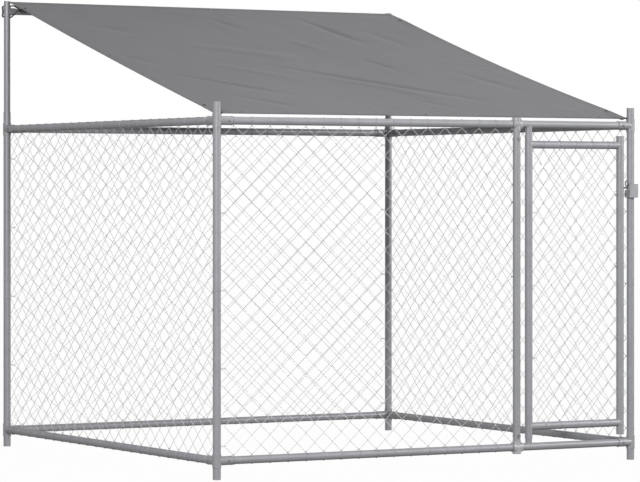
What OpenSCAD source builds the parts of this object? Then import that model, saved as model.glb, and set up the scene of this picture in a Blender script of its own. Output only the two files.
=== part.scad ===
// Outdoor dog run: four tube posts, rails in corner fittings, chain-link panels,
// a gate that swings on two pins, a sliding bolt, and a sloping tarpaulin roof.
// Origin: ground level under the middle of the footprint. X runs along the front,
// Y towards the back and Z up. All sizes are in millimetres.

/* [Run] */
// Distance between post axes along the front
run_w = 2000; // [1700:50:2400]
// Distance between post axes from front to back
run_d = 2000; // [1500:50:2400]
// Height of the four corner posts
post_h = 1500; // [1350:50:1700]
// Height of the tall tubes at the back, which carry the roof
roof_h = 2000; // [1850:50:2200]
// Distance from a rail's axis to the nearer end of its post
rail_inset = 75; // [65:5:120]

/* [Tubes] */
// Outside diameter of posts, rails and gate tubes
tube_d = 32; // [30:0.5:36]
// Wall of those tubes
tube_wall = 1.2; // [1:0.1:1.8]
// Outside diameter of the tubes that slide inside them
inner_d = 28.6; // [26:0.2:29]
// Wall of the inner tubes
inner_wall = 1.2; // [1:0.1:1.8]
// How far a roof tube reaches down into its post
extension_depth = 160; // [100:10:300]
// Distance of the screw that holds it below the top of the post
extension_screw_drop = 20; // [12:1:40]

/* [Fittings] */
// Wall of the corner fittings and connectors
fitting_wall = 1.7; // [1.4:0.1:2.4]
// Height of a fitting's sleeve on its post
fitting_h = 56; // [50:1:70]
// Reach of a rail socket from the post's axis
socket_reach = 68; // [60:1:80]
// Distance of a socket screw from the post's axis
screw_at = 47; // [40:1:52]
// Height of the ridge bar's axis below the top of the roof tubes
ridge_drop = 47; // [40:1:60]
// Height of a ridge connector's sleeve
ridge_sleeve_h = 44; // [40:1:50]
// Reach of a ridge connector's socket from the roof tube's axis
ridge_reach = 38; // [34:1:45]

/* [Gate] */
// Distance of the gate post's axis from the middle of the run
gate_post_x = 420; // [300:10:500]
// Distance between the gate post's axis and the hinge stile's axis
hinge_offset = 60; // [55:1:80]
// Gap between the latch stile and the corner post
latch_gap = 22; // [20:1:30]
// Gap between the bottom rail and the gate's stiles
gate_gap_bottom = 19; // [15:1:30]
// Gap between the top rail and the gate's stiles
gate_gap_top = 29; // [25:1:40]
// Height of the lower gate rail's axis above the foot of its stiles
gate_rail_bottom = 50; // [40:1:90]
// Distance of the upper gate rail's axis below the top of its stiles
gate_rail_top = 40; // [35:1:90]
// How far a hinge pin reaches into the hinge stile
pin_depth = 30; // [20:1:45]
// Thickness of the disc in the hinge stile, which rests on the lower pin
seat_t = 3; // [2:0.5:5]
// Gap between the upper tee and the top of the gate post
tee_gap_top = 25; // [10:1:30]
// Gap between the lower tee and the foot of the gate post
tee_gap_bottom = 2; // [1:1:10]
// Length of a tee's sleeve along the rail
tee_len = 46; // [42:1:60]
// Wall of a tee's sleeve
tee_wall = 3.7; // [3:0.1:5]
// How far a tee's spigot stands in the gate post
spigot_depth = 32; // [28:1:45]
// Height of the lower tee's bolt above the foot of the gate post
tee_bolt_rise = 17; // [12:1:20]
// Distance of the upper tee's bolt below the top of the gate post
tee_bolt_drop = 10; // [9:1:16]

/* [Latch] */
// Height of the sliding bolt's axis
bolt_z = 1160; // [1000:10:1250]
// Diameter of the sliding bolt
bolt_d = 8; // [6:0.5:10]
// Play of the sliding bolt in the latch stile's hole, on the radius
bolt_play = 2; // [1:0.5:3]
// Gap between the withdrawn bolt and the latch stile
bolt_gap = 1.5; // [1:0.5:3]
// Outside diameter of the pull ring
ring_d = 27; // [24:1:30]
// Diameter of the pull ring's wire
ring_wire = 4.5; // [4:0.5:5]
// Height of the latch bracket
bracket_h = 58; // [50:1:70]
// Width of the latch bracket
bracket_w = 44; // [42:1:50]
// Depth of the latch bracket from front to back
bracket_depth = 38; // [34:1:44]
// Thickness of the bracket's sheet
bracket_t = 2.5; // [2:0.5:3]
// Height of the bracket's notched cheek
bracket_cheek = 33; // [28:1:34]
// Height of the bracket above the sliding bolt's axis
bracket_rise = 16; // [12:1:20]
// Distance of the bracket's face in front of the post's axis
bracket_out = 29; // [26:1:34]
// Height of the bracket's own bolt above the bracket's foot
bracket_bolt_rise = 16; // [12:1:18]
// How far the sliding bolt shows past the bracket
bolt_tail_out = 16; // [10:1:25]

/* [Chain link] */
// Width of a diamond of the real mesh
mesh_w = 83.3; // [70:0.1:100]
// Height of a diamond of the real mesh
mesh_h = 78; // [60:0.1:100]
// Real diamonds joined into each drawn one
mesh_step = 2; // [2:1:4]
// Diameter of the mesh wire
wire_d = 2.5; // [2:0.1:4]
// Diameter of the tie wire
tie_wire = 2.2; // [1.8:0.1:3]

/* [Roof] */
// Gap between the top rail and the roof's low edge
roof_gap = 13.5; // [13:0.5:20]
// Drop of the roof's high edge below the top of the roof tubes
roof_drop = 5; // [2:1:20]
// Distance of the roof's low edge behind the front post axes
roof_edge_in = 20; // [19:1:40]
// Gap between the roof's high edge and the roof tubes
roof_back_gap = 2.5; // [1:0.5:10]
// Thickness of the sheet
sheet_t = 1; // [0.8:0.1:2]
// Sag at the middle of the roof
sag = 12; // [0:1:40]
// Height of the roof's tension folds
fold_h = 4; // [0:0.5:12]
// Outside diameter of an eyelet
eyelet_d = 28; // [24:1:30]
// Bore of an eyelet
eyelet_bore = 13; // [12:0.5:16]
// Distance of an eyelet's middle from the sheet's edge
eyelet_in = 22; // [19:1:30]
// Distance of the outer eyelets from the sheet's corner
eyelet_corner = 134; // [110:2:180]
// Diameter of the elastic cord
elastic_d = 5.5; // [4:0.5:6]

/* [Screws] */
// Diameter of a fitting screw's shank
screw_d = 4; // [3:0.5:5]
// Diameter of a fitting screw's head
screw_head_d = 9; // [8:0.5:10]
// Height of a fitting screw's head
screw_head_h = 3.2; // [2.5:0.1:4]
// How far a fitting screw's point reaches past the wall of its tube
screw_past = 5; // [3:0.5:8]
// Diameter of the bolts through the gate post and the latch bracket
bolt8 = 8; // [6:1:8]
// Width across the flats of their heads and nuts
bolt8_flats = 13; // [10:1:14]
// Height of their heads and nuts
bolt8_head_h = 5.3; // [4:0.1:6]
// How far their threads stand past the nut
bolt8_end = 2; // [1:0.5:4]

/* [Hidden] */
$fn = 48;

// Clearance of a tube in its fitting, on the radius
fit = 0.3;
// Clearance between a moving piece and its bearing, on the radius
slide_fit = 0.2;
// Gap left at a weld between two tubes
weld_gap = 0.1;
// Gap between the end of a rail and the sleeve that it meets
butt_gap = 0.8;
// Extra length of a cutting tool past the face it leaves
past = 1;

tube_r = tube_d / 2;
inner_r = inner_d / 2;
sleeve_r = tube_r + fit + fitting_wall;
ridge_sleeve_r = inner_r + fit + fitting_wall;
tee_r = tube_r + fit + tee_wall;

rail_low_z = rail_inset;
rail_high_z = post_h - rail_inset;

half_w = run_w / 2;
half_d = run_d / 2;
ridge_z = roof_h - ridge_drop;

// Gate
hinge_x = gate_post_x + hinge_offset;
latch_x = half_w - tube_d - latch_gap;
gate_w = latch_x - hinge_x;
stile_foot = rail_low_z + tube_r + gate_gap_bottom;
stile_top = rail_high_z - tube_r - gate_gap_top;
gate_low_z = stile_foot + gate_rail_bottom;
gate_high_z = stile_top - gate_rail_top;
tee_foot = rail_low_z + fitting_h / 2;
tee_top = rail_high_z - fitting_h / 2;
gate_post_foot = tee_foot + tee_gap_bottom;
gate_post_top = tee_top - tee_gap_top;
tee_bolt_high = gate_post_top - tee_bolt_drop;
tee_bolt_low = gate_post_foot + tee_bolt_rise;

// Latch
bolt_r = bolt_d / 2;
bolt_tip = latch_x + tube_r + bolt_gap;
bolt_tail = half_w + bracket_w / 2 + bolt_tail_out;
ring_r = ring_d / 2;
ring_gap = 0.7;
ring_x = half_w - tube_r - ring_wire / 2 - ring_gap;
ring_z = bolt_z + bolt_r + ring_r + weld_gap;
bracket_foot = bolt_z + bracket_rise - bracket_h;
bracket_front = -half_d - bracket_out;
bracket_bolt_z = bracket_foot + bracket_bolt_rise;

// Chain link: the panels stand clear of the fittings and of their neighbours' ties
net_edge = max(sleeve_r, tee_r, tube_r + slide_fit + tie_wire) + fit;
tie_inner = tube_r + slide_fit;
tie_reach = net_edge + wire_d + slide_fit;

// Roof: the sheet's local X runs across, Y up the slope and Z out of it
sheet_w = run_w;
sheet_front_y = -half_d + roof_edge_in;
sheet_back_y = half_d - inner_r - roof_back_gap;
sheet_front_z = rail_high_z + tube_r + roof_gap;
sheet_back_z = roof_h - roof_drop;
sheet_rise = sheet_back_z - sheet_front_z;
sheet_run = sheet_back_y - sheet_front_y;
slope = atan2(sheet_rise, sheet_run);
sheet_l = norm([sheet_rise, sheet_run]);
flange_t = 1;
barrel_t = 1;
tie_r = elastic_d / 2;
tie_hole_gap = 0.8;
tie_hole_z = rail_high_z + fitting_h / 2 + tie_r + tie_hole_gap;

steel = [0.63, 0.63, 0.65];
fitting_grey = [0.60, 0.60, 0.62];
wire_grey = [0.72, 0.72, 0.73];
bolt_grey = [0.40, 0.40, 0.42];
tarp_grey = [0.53, 0.53, 0.545];
eyelet_grey = [0.30, 0.30, 0.31];
black = [0.10, 0.10, 0.10];

// Sides of the run, counted round from the front
FRONT = 0;
RIGHT = 1;
BACK = 2;
LEFT = 3;

function side_len(side) = side % 2 == 0 ? run_w : run_d;
function side_off(side) = side % 2 == 0 ? half_d : half_w;

// Local X runs along the side and local -Y points out of the run
module on_side(side) {
    rotate([0, 0, side * 90])
        translate([0, -side_off(side), 0])
            children();
}

// Corners, counted round from the front left; local +X and +Y run along the two sides
function corner_xy(corner) = [
    corner == 0 || corner == 3 ? -half_w : half_w,
    corner < 2 ? -half_d : half_d
];

module on_corner(corner) {
    translate(corner_xy(corner))
        rotate([0, 0, corner * 90])
            children();
}

// A hollow tube that stands on the XY plane
module tube(r, wall, h) {
    difference() {
        cylinder(r = r, h = h);
        translate([0, 0, -past])
            cylinder(r = r - wall, h = h + 2 * past);
    }
}

// A cylinder along X, between two stations
module along_x(x0, x1, r) {
    translate([x0, 0, 0])
        rotate([0, 90, 0])
            cylinder(r = r, h = x1 - x0);
}

// A cylinder along Y, between two stations
module along_y(y0, y1, r) {
    translate([0, y0, 0])
        rotate([-90, 0, 0])
            cylinder(r = r, h = y1 - y0);
}

// Posts and roof tubes

module post() {
    tube(tube_r, tube_wall, post_h);
}

module front_post(side_sign) {
    color(steel)
        translate([side_sign * half_w, -half_d, 0])
            difference() {
                post();
                translate([0, 0, tie_hole_z])
                    mirror([side_sign > 0 ? 1 : 0, 0, 0])
                        along_x(0, tube_r + past, tie_r + fit);
                if (side_sign > 0)
                    latch_post_holes();
            }
}

// Holes for the sliding bolt and for the bolt that holds its bracket
module latch_post_holes() {
    translate([0, 0, bolt_z])
        along_x(-tube_r - past, tube_r + past, bolt_r + slide_fit);
    translate([0, 0, bracket_bolt_z])
        along_x(-tube_r - past, tube_r + past, bolt8 / 2 + fit);
}

extension_screw_z = post_h - extension_screw_drop;

module back_post(side_sign) {
    color(steel)
        translate([side_sign * half_w, half_d, 0])
            difference() {
                post();
                translate([0, 0, extension_screw_z])
                    along_y(0, tube_r + past, screw_d / 2 + slide_fit);
            }
}

module roof_tube(side_sign) {
    foot = post_h - extension_depth;
    color(steel)
        translate([side_sign * half_w, half_d, 0])
            difference() {
                translate([0, 0, foot])
                    tube(inner_r, inner_wall, roof_h - foot);
                for (z = [extension_screw_z, ridge_z])
                    translate([0, 0, z])
                        along_y(0, inner_r + past, screw_d / 2 + slide_fit);
            }
}

// Rails

module rail(len, r, wall, screw_in) {
    difference() {
        along_x(-len / 2, len / 2, r);
        along_x(-len / 2 - past, len / 2 + past, r - wall);
        for (end = [-1, 1])
            translate([end * (len / 2 - screw_in), 0, 0])
                along_y(-r - past, 0, screw_d / 2 + slide_fit);
    }
}

module side_rail(side, z) {
    start = sleeve_r + butt_gap;
    color(steel)
        on_side(side)
            translate([0, 0, z])
                rail(side_len(side) - 2 * start, tube_r, tube_wall, screw_at - start);
}

ridge_start = ridge_sleeve_r + butt_gap;
ridge_screw_at = (ridge_sleeve_r + ridge_reach) / 2 + screw_d / 2;

module ridge_bar() {
    color(steel)
        translate([0, half_d, ridge_z])
            rotate([0, 0, 180])
                rail(run_w - 2 * ridge_start, inner_r, inner_wall, ridge_screw_at - ridge_start);
}

// Corner fittings and connectors

module corner_fitting(corner, z) {
    bore_r = tube_r + fit;
    hole_r = screw_d / 2 + slide_fit;
    color(fitting_grey)
        on_corner(corner)
            translate([0, 0, z])
                difference() {
                    union() {
                        translate([0, 0, -fitting_h / 2])
                            cylinder(r = sleeve_r, h = fitting_h);
                        along_x(0, socket_reach, sleeve_r);
                        along_y(0, socket_reach, sleeve_r);
                    }
                    translate([0, 0, -fitting_h / 2 - past])
                        cylinder(r = bore_r, h = fitting_h + 2 * past);
                    along_x(sleeve_r, socket_reach + past, bore_r);
                    along_y(sleeve_r, socket_reach + past, bore_r);
                    translate([screw_at, 0, 0])
                        along_y(-sleeve_r - past, 0, hole_r);
                    translate([0, screw_at, 0])
                        along_x(-sleeve_r - past, 0, hole_r);
                }
}

module ridge_connector(side_sign) {
    bore_r = inner_r + fit;
    hole_r = screw_d / 2 + slide_fit;
    color(fitting_grey)
        translate([side_sign * half_w, half_d, ridge_z])
            mirror([side_sign > 0 ? 1 : 0, 0, 0])
                difference() {
                    union() {
                        translate([0, 0, -ridge_sleeve_h / 2])
                            cylinder(r = ridge_sleeve_r, h = ridge_sleeve_h);
                        along_x(0, ridge_reach, ridge_sleeve_r);
                    }
                    translate([0, 0, -ridge_sleeve_h / 2 - past])
                        cylinder(r = bore_r, h = ridge_sleeve_h + 2 * past);
                    along_x(ridge_sleeve_r, ridge_reach + past, bore_r);
                    along_y(0, ridge_sleeve_r + past, hole_r);
                    translate([ridge_screw_at, 0, 0])
                        along_y(0, ridge_sleeve_r + past, hole_r);
                }
}

// A self-drilling screw whose head sits at the origin and whose shank runs along +Y
module screw(grip) {
    along_y(-screw_head_h, 0, screw_head_d / 2);
    along_y(-screw_head_h / 2, grip, screw_d / 2);
}

module fitting_screws() {
    grip = fitting_wall + tube_wall + screw_past;
    color(bolt_grey)
        for (corner = [0:3], z = [rail_low_z, rail_high_z])
            on_corner(corner)
                translate([0, 0, z]) {
                    translate([screw_at, -sleeve_r, 0])
                        screw(grip);
                    translate([-sleeve_r, screw_at, 0])
                        rotate([0, 0, -90])
                            screw(grip);
                }
}

module roof_frame_screws() {
    grip = fitting_wall + inner_wall + screw_past;
    color(bolt_grey)
        for (side_sign = [-1, 1])
            translate([side_sign * half_w, half_d, 0]) {
                translate([0, tube_r, extension_screw_z])
                    rotate([0, 0, 180])
                        screw(grip);
                for (x = [0, -side_sign * ridge_screw_at])
                    translate([x, ridge_sleeve_r, ridge_z])
                        rotate([0, 0, 180])
                            screw(grip);
            }
}

// Gate post and the tees that join it to the front rails

module gate_post() {
    color(steel)
        translate([gate_post_x, -half_d, 0])
            difference() {
                translate([0, 0, gate_post_foot])
                    tube(tube_r, tube_wall, gate_post_top - gate_post_foot);
                for (z = [tee_bolt_low, tee_bolt_high])
                    translate([0, 0, z])
                        along_y(-tube_r - past, tube_r + past, bolt8 / 2 + fit);
            }
}

// The tee at the foot of the gate post, with its spigot pointing up
module tee(gap, bolt_rise) {
    boss = fitting_h / 2;
    top = boss + gap + spigot_depth;
    difference() {
        union() {
            along_x(-tee_len / 2, tee_len / 2, tee_r);
            translate([0, 0, -boss])
                cylinder(r = sleeve_r, h = 2 * boss);
            cylinder(r = inner_r, h = top);
        }
        translate([0, 0, tee_r])
            cylinder(r = inner_r - inner_wall, h = top);
        along_x(-tee_len / 2 - past, tee_len / 2 + past, tube_r + fit);
        translate([0, 0, bolt_rise])
            along_y(-inner_r - past, inner_r + past, bolt8 / 2 + fit);
    }
}

module gate_tee_bottom() {
    color(fitting_grey)
        translate([gate_post_x, -half_d, rail_low_z])
            tee(tee_gap_bottom, tee_bolt_low - rail_low_z);
}

module gate_tee_top() {
    color(fitting_grey)
        translate([gate_post_x, -half_d, rail_high_z])
            mirror([0, 0, 1])
                tee(tee_gap_top, rail_high_z - tee_bolt_high);
}

// A hexagon head or nut along Y, from y0 to y1
module hexagon(y0, y1) {
    translate([0, y0, 0])
        rotate([-90, 0, 0])
            cylinder(r = bolt8_flats / sqrt(3), h = y1 - y0, $fn = 6);
}

// A bolt along Y through a round post, with its head in front and its nut behind
module through_bolt(grip_r) {
    hexagon(-grip_r - bolt8_head_h, -grip_r);
    along_y(-grip_r - bolt8_head_h / 2, grip_r + bolt8_head_h + bolt8_end, bolt8 / 2);
    hexagon(grip_r, grip_r + bolt8_head_h);
}

module gate_tee_bolts() {
    color(bolt_grey)
        for (z = [tee_bolt_low, tee_bolt_high])
            translate([gate_post_x, -half_d, z])
                through_bolt(tube_r);
}

// Gate

// A pin that is welded to a rail and stands in the open end of the hinge stile
module hinge_pin(z, gap, up) {
    color(fitting_grey)
        translate([hinge_x, -half_d, z])
            mirror([0, 0, up ? 0 : 1])
                difference() {
                    tube(inner_r, inner_wall, tube_r + gap + pin_depth);
                    along_x(-inner_r - past, inner_r + past, tube_r + weld_gap);
                }
}

pin_top_z = stile_foot + pin_depth;

module gate_hinge_stile() {
    color(steel)
        translate([hinge_x, -half_d, 0]) {
            translate([0, 0, stile_foot])
                tube(tube_r, tube_wall, stile_top - stile_foot);
            // The disc inside the tube rests on the lower pin
            translate([0, 0, pin_top_z + fit])
                cylinder(r = tube_r - tube_wall / 2, h = seat_t);
        }
}

module gate_latch_stile() {
    color(steel)
        translate([latch_x, -half_d, 0])
            difference() {
                translate([0, 0, stile_foot])
                    tube(tube_r, tube_wall, stile_top - stile_foot);
                translate([0, 0, bolt_z])
                    along_x(0, tube_r + past, bolt_r + bolt_play);
            }
}

// A gate rail, coped to the round stiles at both ends
module gate_rail(z) {
    color(steel)
        translate([hinge_x, -half_d, z])
            difference() {
                along_x(0, gate_w, tube_r);
                along_x(-past, gate_w + past, tube_r - tube_wall);
                for (x = [0, gate_w])
                    translate([x, 0, -tube_r - past])
                        cylinder(r = tube_r + weld_gap, h = tube_d + 2 * past);
            }
}

// Chain link: a flat sheet of diamonds inside a border strip, one wire wide

// One gap of the mesh about its own middle, cut short by the border on the sides sx and sy
function gap_outline(p, q, m, sx, sy) =
    sx == 0 && sy == 0 ? [[p, 0], [0, q], [-p, 0], [0, -q]] :
    sy == 0 ? [[sx * m, -q * (1 - m / p)], [sx * p, 0], [sx * m, q * (1 - m / p)]] :
    sx == 0 ? [[-p * (1 - m / q), sy * m], [p * (1 - m / q), sy * m], [0, sy * q]] :
    [[sx * m, sy * m], [sx * p * (1 - m / q), sy * m], [sx * m, sy * q * (1 - m / p)]];

function edge_side(i, n) = i == 0 ? 1 : i == n ? -1 : 0;

function moved(outline, x, y) = [for (p = outline) p + [x, y]];

function mesh_columns(w) = max(2, round(w / (mesh_w * mesh_step)));
function mesh_rows(h) = max(2, round(h / (mesh_h * mesh_step)));

// Running total of the lengths of the first n outlines
function lengths_before(outlines) = [
    for (i = 0, total = 0; i < len(outlines); total = total + len(outlines[i]), i = i + 1) total
];

// The sheet's lower left corner is at the origin, and it stands in the XZ plane
module net_sheet(w, h) {
    m = wire_d / 2;
    lw = w - wire_d;
    lh = h - wire_d;
    cols = mesh_columns(w);
    rows = mesh_rows(h);
    a = lw / cols / 2;
    b = lh / rows / 2;
    inset = 1 - m * norm([a, b]) / (a * b);
    p = a * inset;
    q = b * inset;
    whole = [
        for (i = [0:cols - 1], j = [0:rows - 1])
            moved(gap_outline(p, q, m, 0, 0), (2 * i + 1) * a, (2 * j + 1) * b)
    ];
    crossing = [
        for (i = [0:cols], j = [0:rows])
            moved(gap_outline(p, q, m, edge_side(i, cols), edge_side(j, rows)), 2 * i * a, 2 * j * b)
    ];
    border = [[-m, -m], [lw + m, -m], [lw + m, lh + m], [-m, lh + m]];
    outlines = concat([border], whole, crossing);
    starts = lengths_before(outlines);
    translate([m, m, 0])
        linear_extrude(height = wire_d, center = true)
            polygon(
                points = [for (o = outlines) each o],
                paths = [for (k = [0:len(outlines) - 1])
                    [for (i = [0:len(outlines[k]) - 1]) starts[k] + i]]
            );
}

module net(w, h) {
    color(wire_grey)
        rotate([90, 0, 0])
            net_sheet(w, h);
}

// Plan of a loop of half width r that runs from a tube's far side to a distance reach
module loop_plan(r, reach) {
    circle(r = r);
    translate([0, -r])
        square([reach - r, 2 * r]);
    translate([reach - r, 0])
        circle(r = r);
}

// A wire tie: a loop round a tube along X and round the border of the net above it
module rail_tie() {
    rotate([0, -90, 0])
        translate([0, 0, -tie_wire / 2])
            linear_extrude(height = tie_wire)
                difference() {
                    loop_plan(tie_inner + tie_wire, tie_reach + tie_wire);
                    loop_plan(tie_inner, tie_reach);
                }
}

// Ties round a panel whose tube axes are w by h apart; odd or even picks rows on the uprights
module panel_ties(w, h, odd) {
    cols = mesh_columns(w - 2 * net_edge);
    rows = mesh_rows(h - 2 * net_edge);
    step_x = (w - 2 * net_edge - wire_d) / cols;
    step_z = (h - 2 * net_edge - wire_d) / rows;
    edge = net_edge + wire_d / 2;
    color(wire_grey) {
        for (i = [1:cols - 1]) {
            translate([edge + i * step_x, 0, 0])
                rail_tie();
            translate([edge + i * step_x, 0, h])
                mirror([0, 0, 1])
                    rail_tie();
        }
        for (j = [1 + odd:2:rows - 1]) {
            translate([0, 0, edge + j * step_z])
                rotate([0, 90, 0])
                    rail_tie();
            translate([w, 0, edge + j * step_z])
                rotate([0, -90, 0])
                    rail_tie();
        }
    }
}

panel_h = rail_high_z - rail_low_z;

// Children are drawn from the low left crossing of two tube axes
module in_panel(side, x0) {
    on_side(side)
        translate([x0, 0, rail_low_z])
            children();
}

module side_net(side) {
    in_panel(side, -side_len(side) / 2)
        translate([net_edge, 0, net_edge])
            net(side_len(side) - 2 * net_edge, panel_h - 2 * net_edge);
}

module side_net_ties(side, odd) {
    in_panel(side, -side_len(side) / 2)
        panel_ties(side_len(side), panel_h, odd);
}

front_panel_w = half_w + gate_post_x;

module front_net() {
    in_panel(FRONT, -half_w)
        translate([net_edge, 0, net_edge])
            net(front_panel_w - 2 * net_edge, panel_h - 2 * net_edge);
}

module front_net_ties() {
    in_panel(FRONT, -half_w)
        panel_ties(front_panel_w, panel_h, 0);
}

gate_panel_h = gate_high_z - gate_low_z;

module gate_net() {
    translate([hinge_x + net_edge, -half_d, gate_low_z + net_edge])
        net(gate_w - 2 * net_edge, gate_panel_h - 2 * net_edge);
}

module gate_net_ties() {
    translate([hinge_x, -half_d, gate_low_z])
        panel_ties(gate_w, gate_panel_h, 0);
}

// Latch

// Plan of the bent channel: outside width w, depth d and outside corner radius r
module channel_plan(w, d, r) {
    translate([-w / 2, r])
        square([w, d - r]);
    translate([-w / 2 + r, 0])
        square([w - 2 * r, d]);
    for (x = [-w / 2 + r, w / 2 - r])
        translate([x, r])
            circle(r = r);
}

bend_r = 4;

module latch_bracket() {
    inner_w = bracket_w - 2 * bracket_t;
    color(fitting_grey)
        translate([half_w, bracket_front, bracket_foot])
            difference() {
                linear_extrude(height = bracket_h)
                    channel_plan(bracket_w, bracket_depth, bend_r);
                translate([0, bracket_t, -past])
                    linear_extrude(height = bracket_h + 2 * past)
                        channel_plan(inner_w, bracket_depth, bend_r - bracket_t);
                // The cheek towards the gate stops below the sliding bolt
                translate([-bracket_w / 2 - past, bend_r, bracket_cheek])
                    cube([bracket_t + 2 * past, bracket_depth, bracket_h]);
                translate([0, -half_d - bracket_front, bolt_z - bracket_foot])
                    along_x(0, bracket_w, bolt_r + slide_fit);
                translate([0, -half_d - bracket_front, bracket_bolt_z - bracket_foot])
                    along_x(-bracket_w, bracket_w, bolt8 / 2 + fit);
            }
}

module latch_bracket_bolt() {
    color(bolt_grey)
        translate([half_w, -half_d, bracket_bolt_z])
            rotate([0, 0, 90])
                through_bolt(bracket_w / 2);
}

// The bolt is turned about its own axis, with a chamfered tip
module latch_bolt() {
    tip = bolt_r / 3;
    len = bolt_tail - bolt_tip;
    color(bolt_grey)
        translate([0, -half_d, bolt_z])
            difference() {
                translate([bolt_tip, 0, 0])
                    rotate([0, 90, 0])
                        rotate_extrude()
                            polygon([[0, 0], [bolt_r - tip, 0], [bolt_r, tip], [bolt_r, len], [0, len]]);
                translate([ring_x, 0, 0])
                    cylinder(r = ring_wire / 2 + weld_gap, h = bolt_r + past);
            }
}

module latch_ring() {
    color(bolt_grey)
        translate([ring_x, -half_d, 0]) {
            translate([0, 0, ring_z])
                rotate([0, 90, 0])
                    rotate_extrude()
                        translate([ring_r - ring_wire / 2, 0])
                            circle(d = ring_wire, $fn = 24);
            // The stem below the ring is set in the bolt
            translate([0, 0, bolt_z + weld_gap])
                cylinder(d = ring_wire, h = bolt_r + ring_wire / 2);
        }
}

// Roof

module on_slope() {
    translate([0, sheet_front_y, sheet_front_z])
        rotate([slope, 0, 0])
            children();
}

// A point of the sheet's local frame, in the run's frame
function slope_point(u, v, w) = [
    u,
    sheet_front_y + v * cos(slope) - w * sin(slope),
    sheet_front_z + v * sin(slope) + w * cos(slope)
];

sheet_cells = 24;
hem = 2;

// Height of the sheet over its flat hem, for s and t from -1 to 1
function crown(s) = max(0, 1 - s * s);
function sheet_height(s, t) =
    -sag * crown(s) * crown(t)
    + fold_h * sin(540 * (s - t)) * crown(s) * crown(t) * (s * t);

function sheet_station(i) =
    let (n = sheet_cells - 2 * hem)
    min(1, max(-1, 2 * (i - hem) / n - 1));

// Grid lines run across the hem in even steps and across the field in even steps
function grid_line(i, size) =
    let (hem_w = 2 * eyelet_in)
    i <= hem ? -size / 2 + hem_w * i / hem :
    i >= sheet_cells - hem ? size / 2 - hem_w * (sheet_cells - i) / hem :
    sheet_station(i) * (size / 2 - hem_w);

function sheet_vertex(i, j, w) = [
    grid_line(i, sheet_w),
    sheet_l / 2 + grid_line(j, sheet_l),
    sheet_height(sheet_station(i), sheet_station(j)) + w
];

function grid_index(i, j) = i * (sheet_cells + 1) + j;

module sheet_body() {
    n = sheet_cells;
    layer = (n + 1) * (n + 1);
    top = [for (i = [0:n], j = [0:n]) sheet_vertex(i, j, sheet_t / 2)];
    bottom = [for (i = [0:n], j = [0:n]) sheet_vertex(i, j, -sheet_t / 2)];
    rim = concat(
        [for (i = [0:n - 1]) [i, 0]],
        [for (j = [0:n - 1]) [n, j]],
        [for (i = [0:n - 1]) [n - i, n]],
        [for (j = [0:n - 1]) [0, n - j]]
    );
    count = len(rim);
    faces = concat(
        [for (i = [0:n - 1], j = [0:n - 1])
            each [
                [grid_index(i, j), grid_index(i, j + 1), grid_index(i + 1, j + 1)],
                [grid_index(i, j), grid_index(i + 1, j + 1), grid_index(i + 1, j)]
            ]],
        [for (i = [0:n - 1], j = [0:n - 1])
            each [
                layer * [1, 1, 1] + [grid_index(i, j), grid_index(i + 1, j + 1), grid_index(i, j + 1)],
                layer * [1, 1, 1] + [grid_index(i, j), grid_index(i + 1, j), grid_index(i + 1, j + 1)]
            ]],
        [for (k = [0:count - 1])
            let (a = grid_index(rim[k][0], rim[k][1]),
                 next = rim[(k + 1) % count],
                 b = grid_index(next[0], next[1]))
            each [[a, b, layer + b], [a, layer + b, layer + a]]]
    );
    polyhedron(points = concat(top, bottom), faces = faces);
}

// Middles of the eyelets in the sheet's local frame, three along each edge
edge_u = sheet_w / 2 - eyelet_in;
eyelet_u = sheet_w / 2 - eyelet_corner;
EYELETS = [
    for (u = [-eyelet_u, 0, eyelet_u], v = [eyelet_in, sheet_l - eyelet_in]) [u, v],
    for (u = [-edge_u, edge_u], v = [eyelet_corner, sheet_l / 2, sheet_l - eyelet_corner]) [u, v]
];

module roof_tarp() {
    color(tarp_grey)
        on_slope()
            difference() {
                sheet_body();
                for (e = EYELETS)
                    translate([e[0], e[1], -sheet_t / 2 - past])
                        cylinder(r = eyelet_bore / 2 + barrel_t + slide_fit, h = sheet_t + 2 * past);
            }
}

// Half section of an eyelet: a barrel through the sheet with a flange on each face
module eyelet() {
    r0 = eyelet_bore / 2;
    r1 = r0 + barrel_t;
    h = sheet_t / 2;
    rotate_extrude()
        polygon([
            [r0, -h - flange_t], [eyelet_d / 2, -h - flange_t], [eyelet_d / 2, -h],
            [r1, -h], [r1, h], [eyelet_d / 2, h],
            [eyelet_d / 2, h + flange_t], [r0, h + flange_t]
        ]);
}

module roof_eyelets() {
    color(eyelet_grey)
        on_slope()
            for (e = EYELETS)
                translate([e[0], e[1], 0])
                    eyelet();
}

// Elastic cords: a six-sided tube swept along a smooth curve through hand-picked stations.
// Each station is a point and the cord's radius there, so that a knot is a short bulge.

cord_sides = 6;

function spot(station) = [station[0], station[1], station[2]];

function blend(a, b, c, d, t) =
    ((2 * b) + (c - a) * t + (2 * a - 5 * b + 4 * c - d) * t * t
    + (3 * b - a - 3 * c + d) * t * t * t) / 2;

function smooth(stations, steps) =
    let (n = len(stations) - 1)
    [
        for (i = [0:n - 1], s = [0:steps - 1])
            [
                each blend(
                    spot(stations[max(0, i - 1)]), spot(stations[i]), spot(stations[i + 1]),
                    spot(stations[min(n, i + 2)]), s / steps
                ),
                stations[i][3] + (stations[i + 1][3] - stations[i][3]) * s / steps
            ],
        stations[n]
    ];

function unit(v) = v / norm(v);

function heading(line, i) =
    unit(spot(line[min(len(line) - 1, i + 1)]) - spot(line[max(0, i - 1)]));

// Side vectors that turn as little as they can from ring to ring
function side_vectors(line, start) = [
    for (
        i = 0, v = unit(cross(heading(line, 0), start));
        i < len(line);
        i = i + 1, v = i < len(line) ? unit(v - (v * heading(line, i)) * heading(line, i)) : v
    ) v
];

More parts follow.
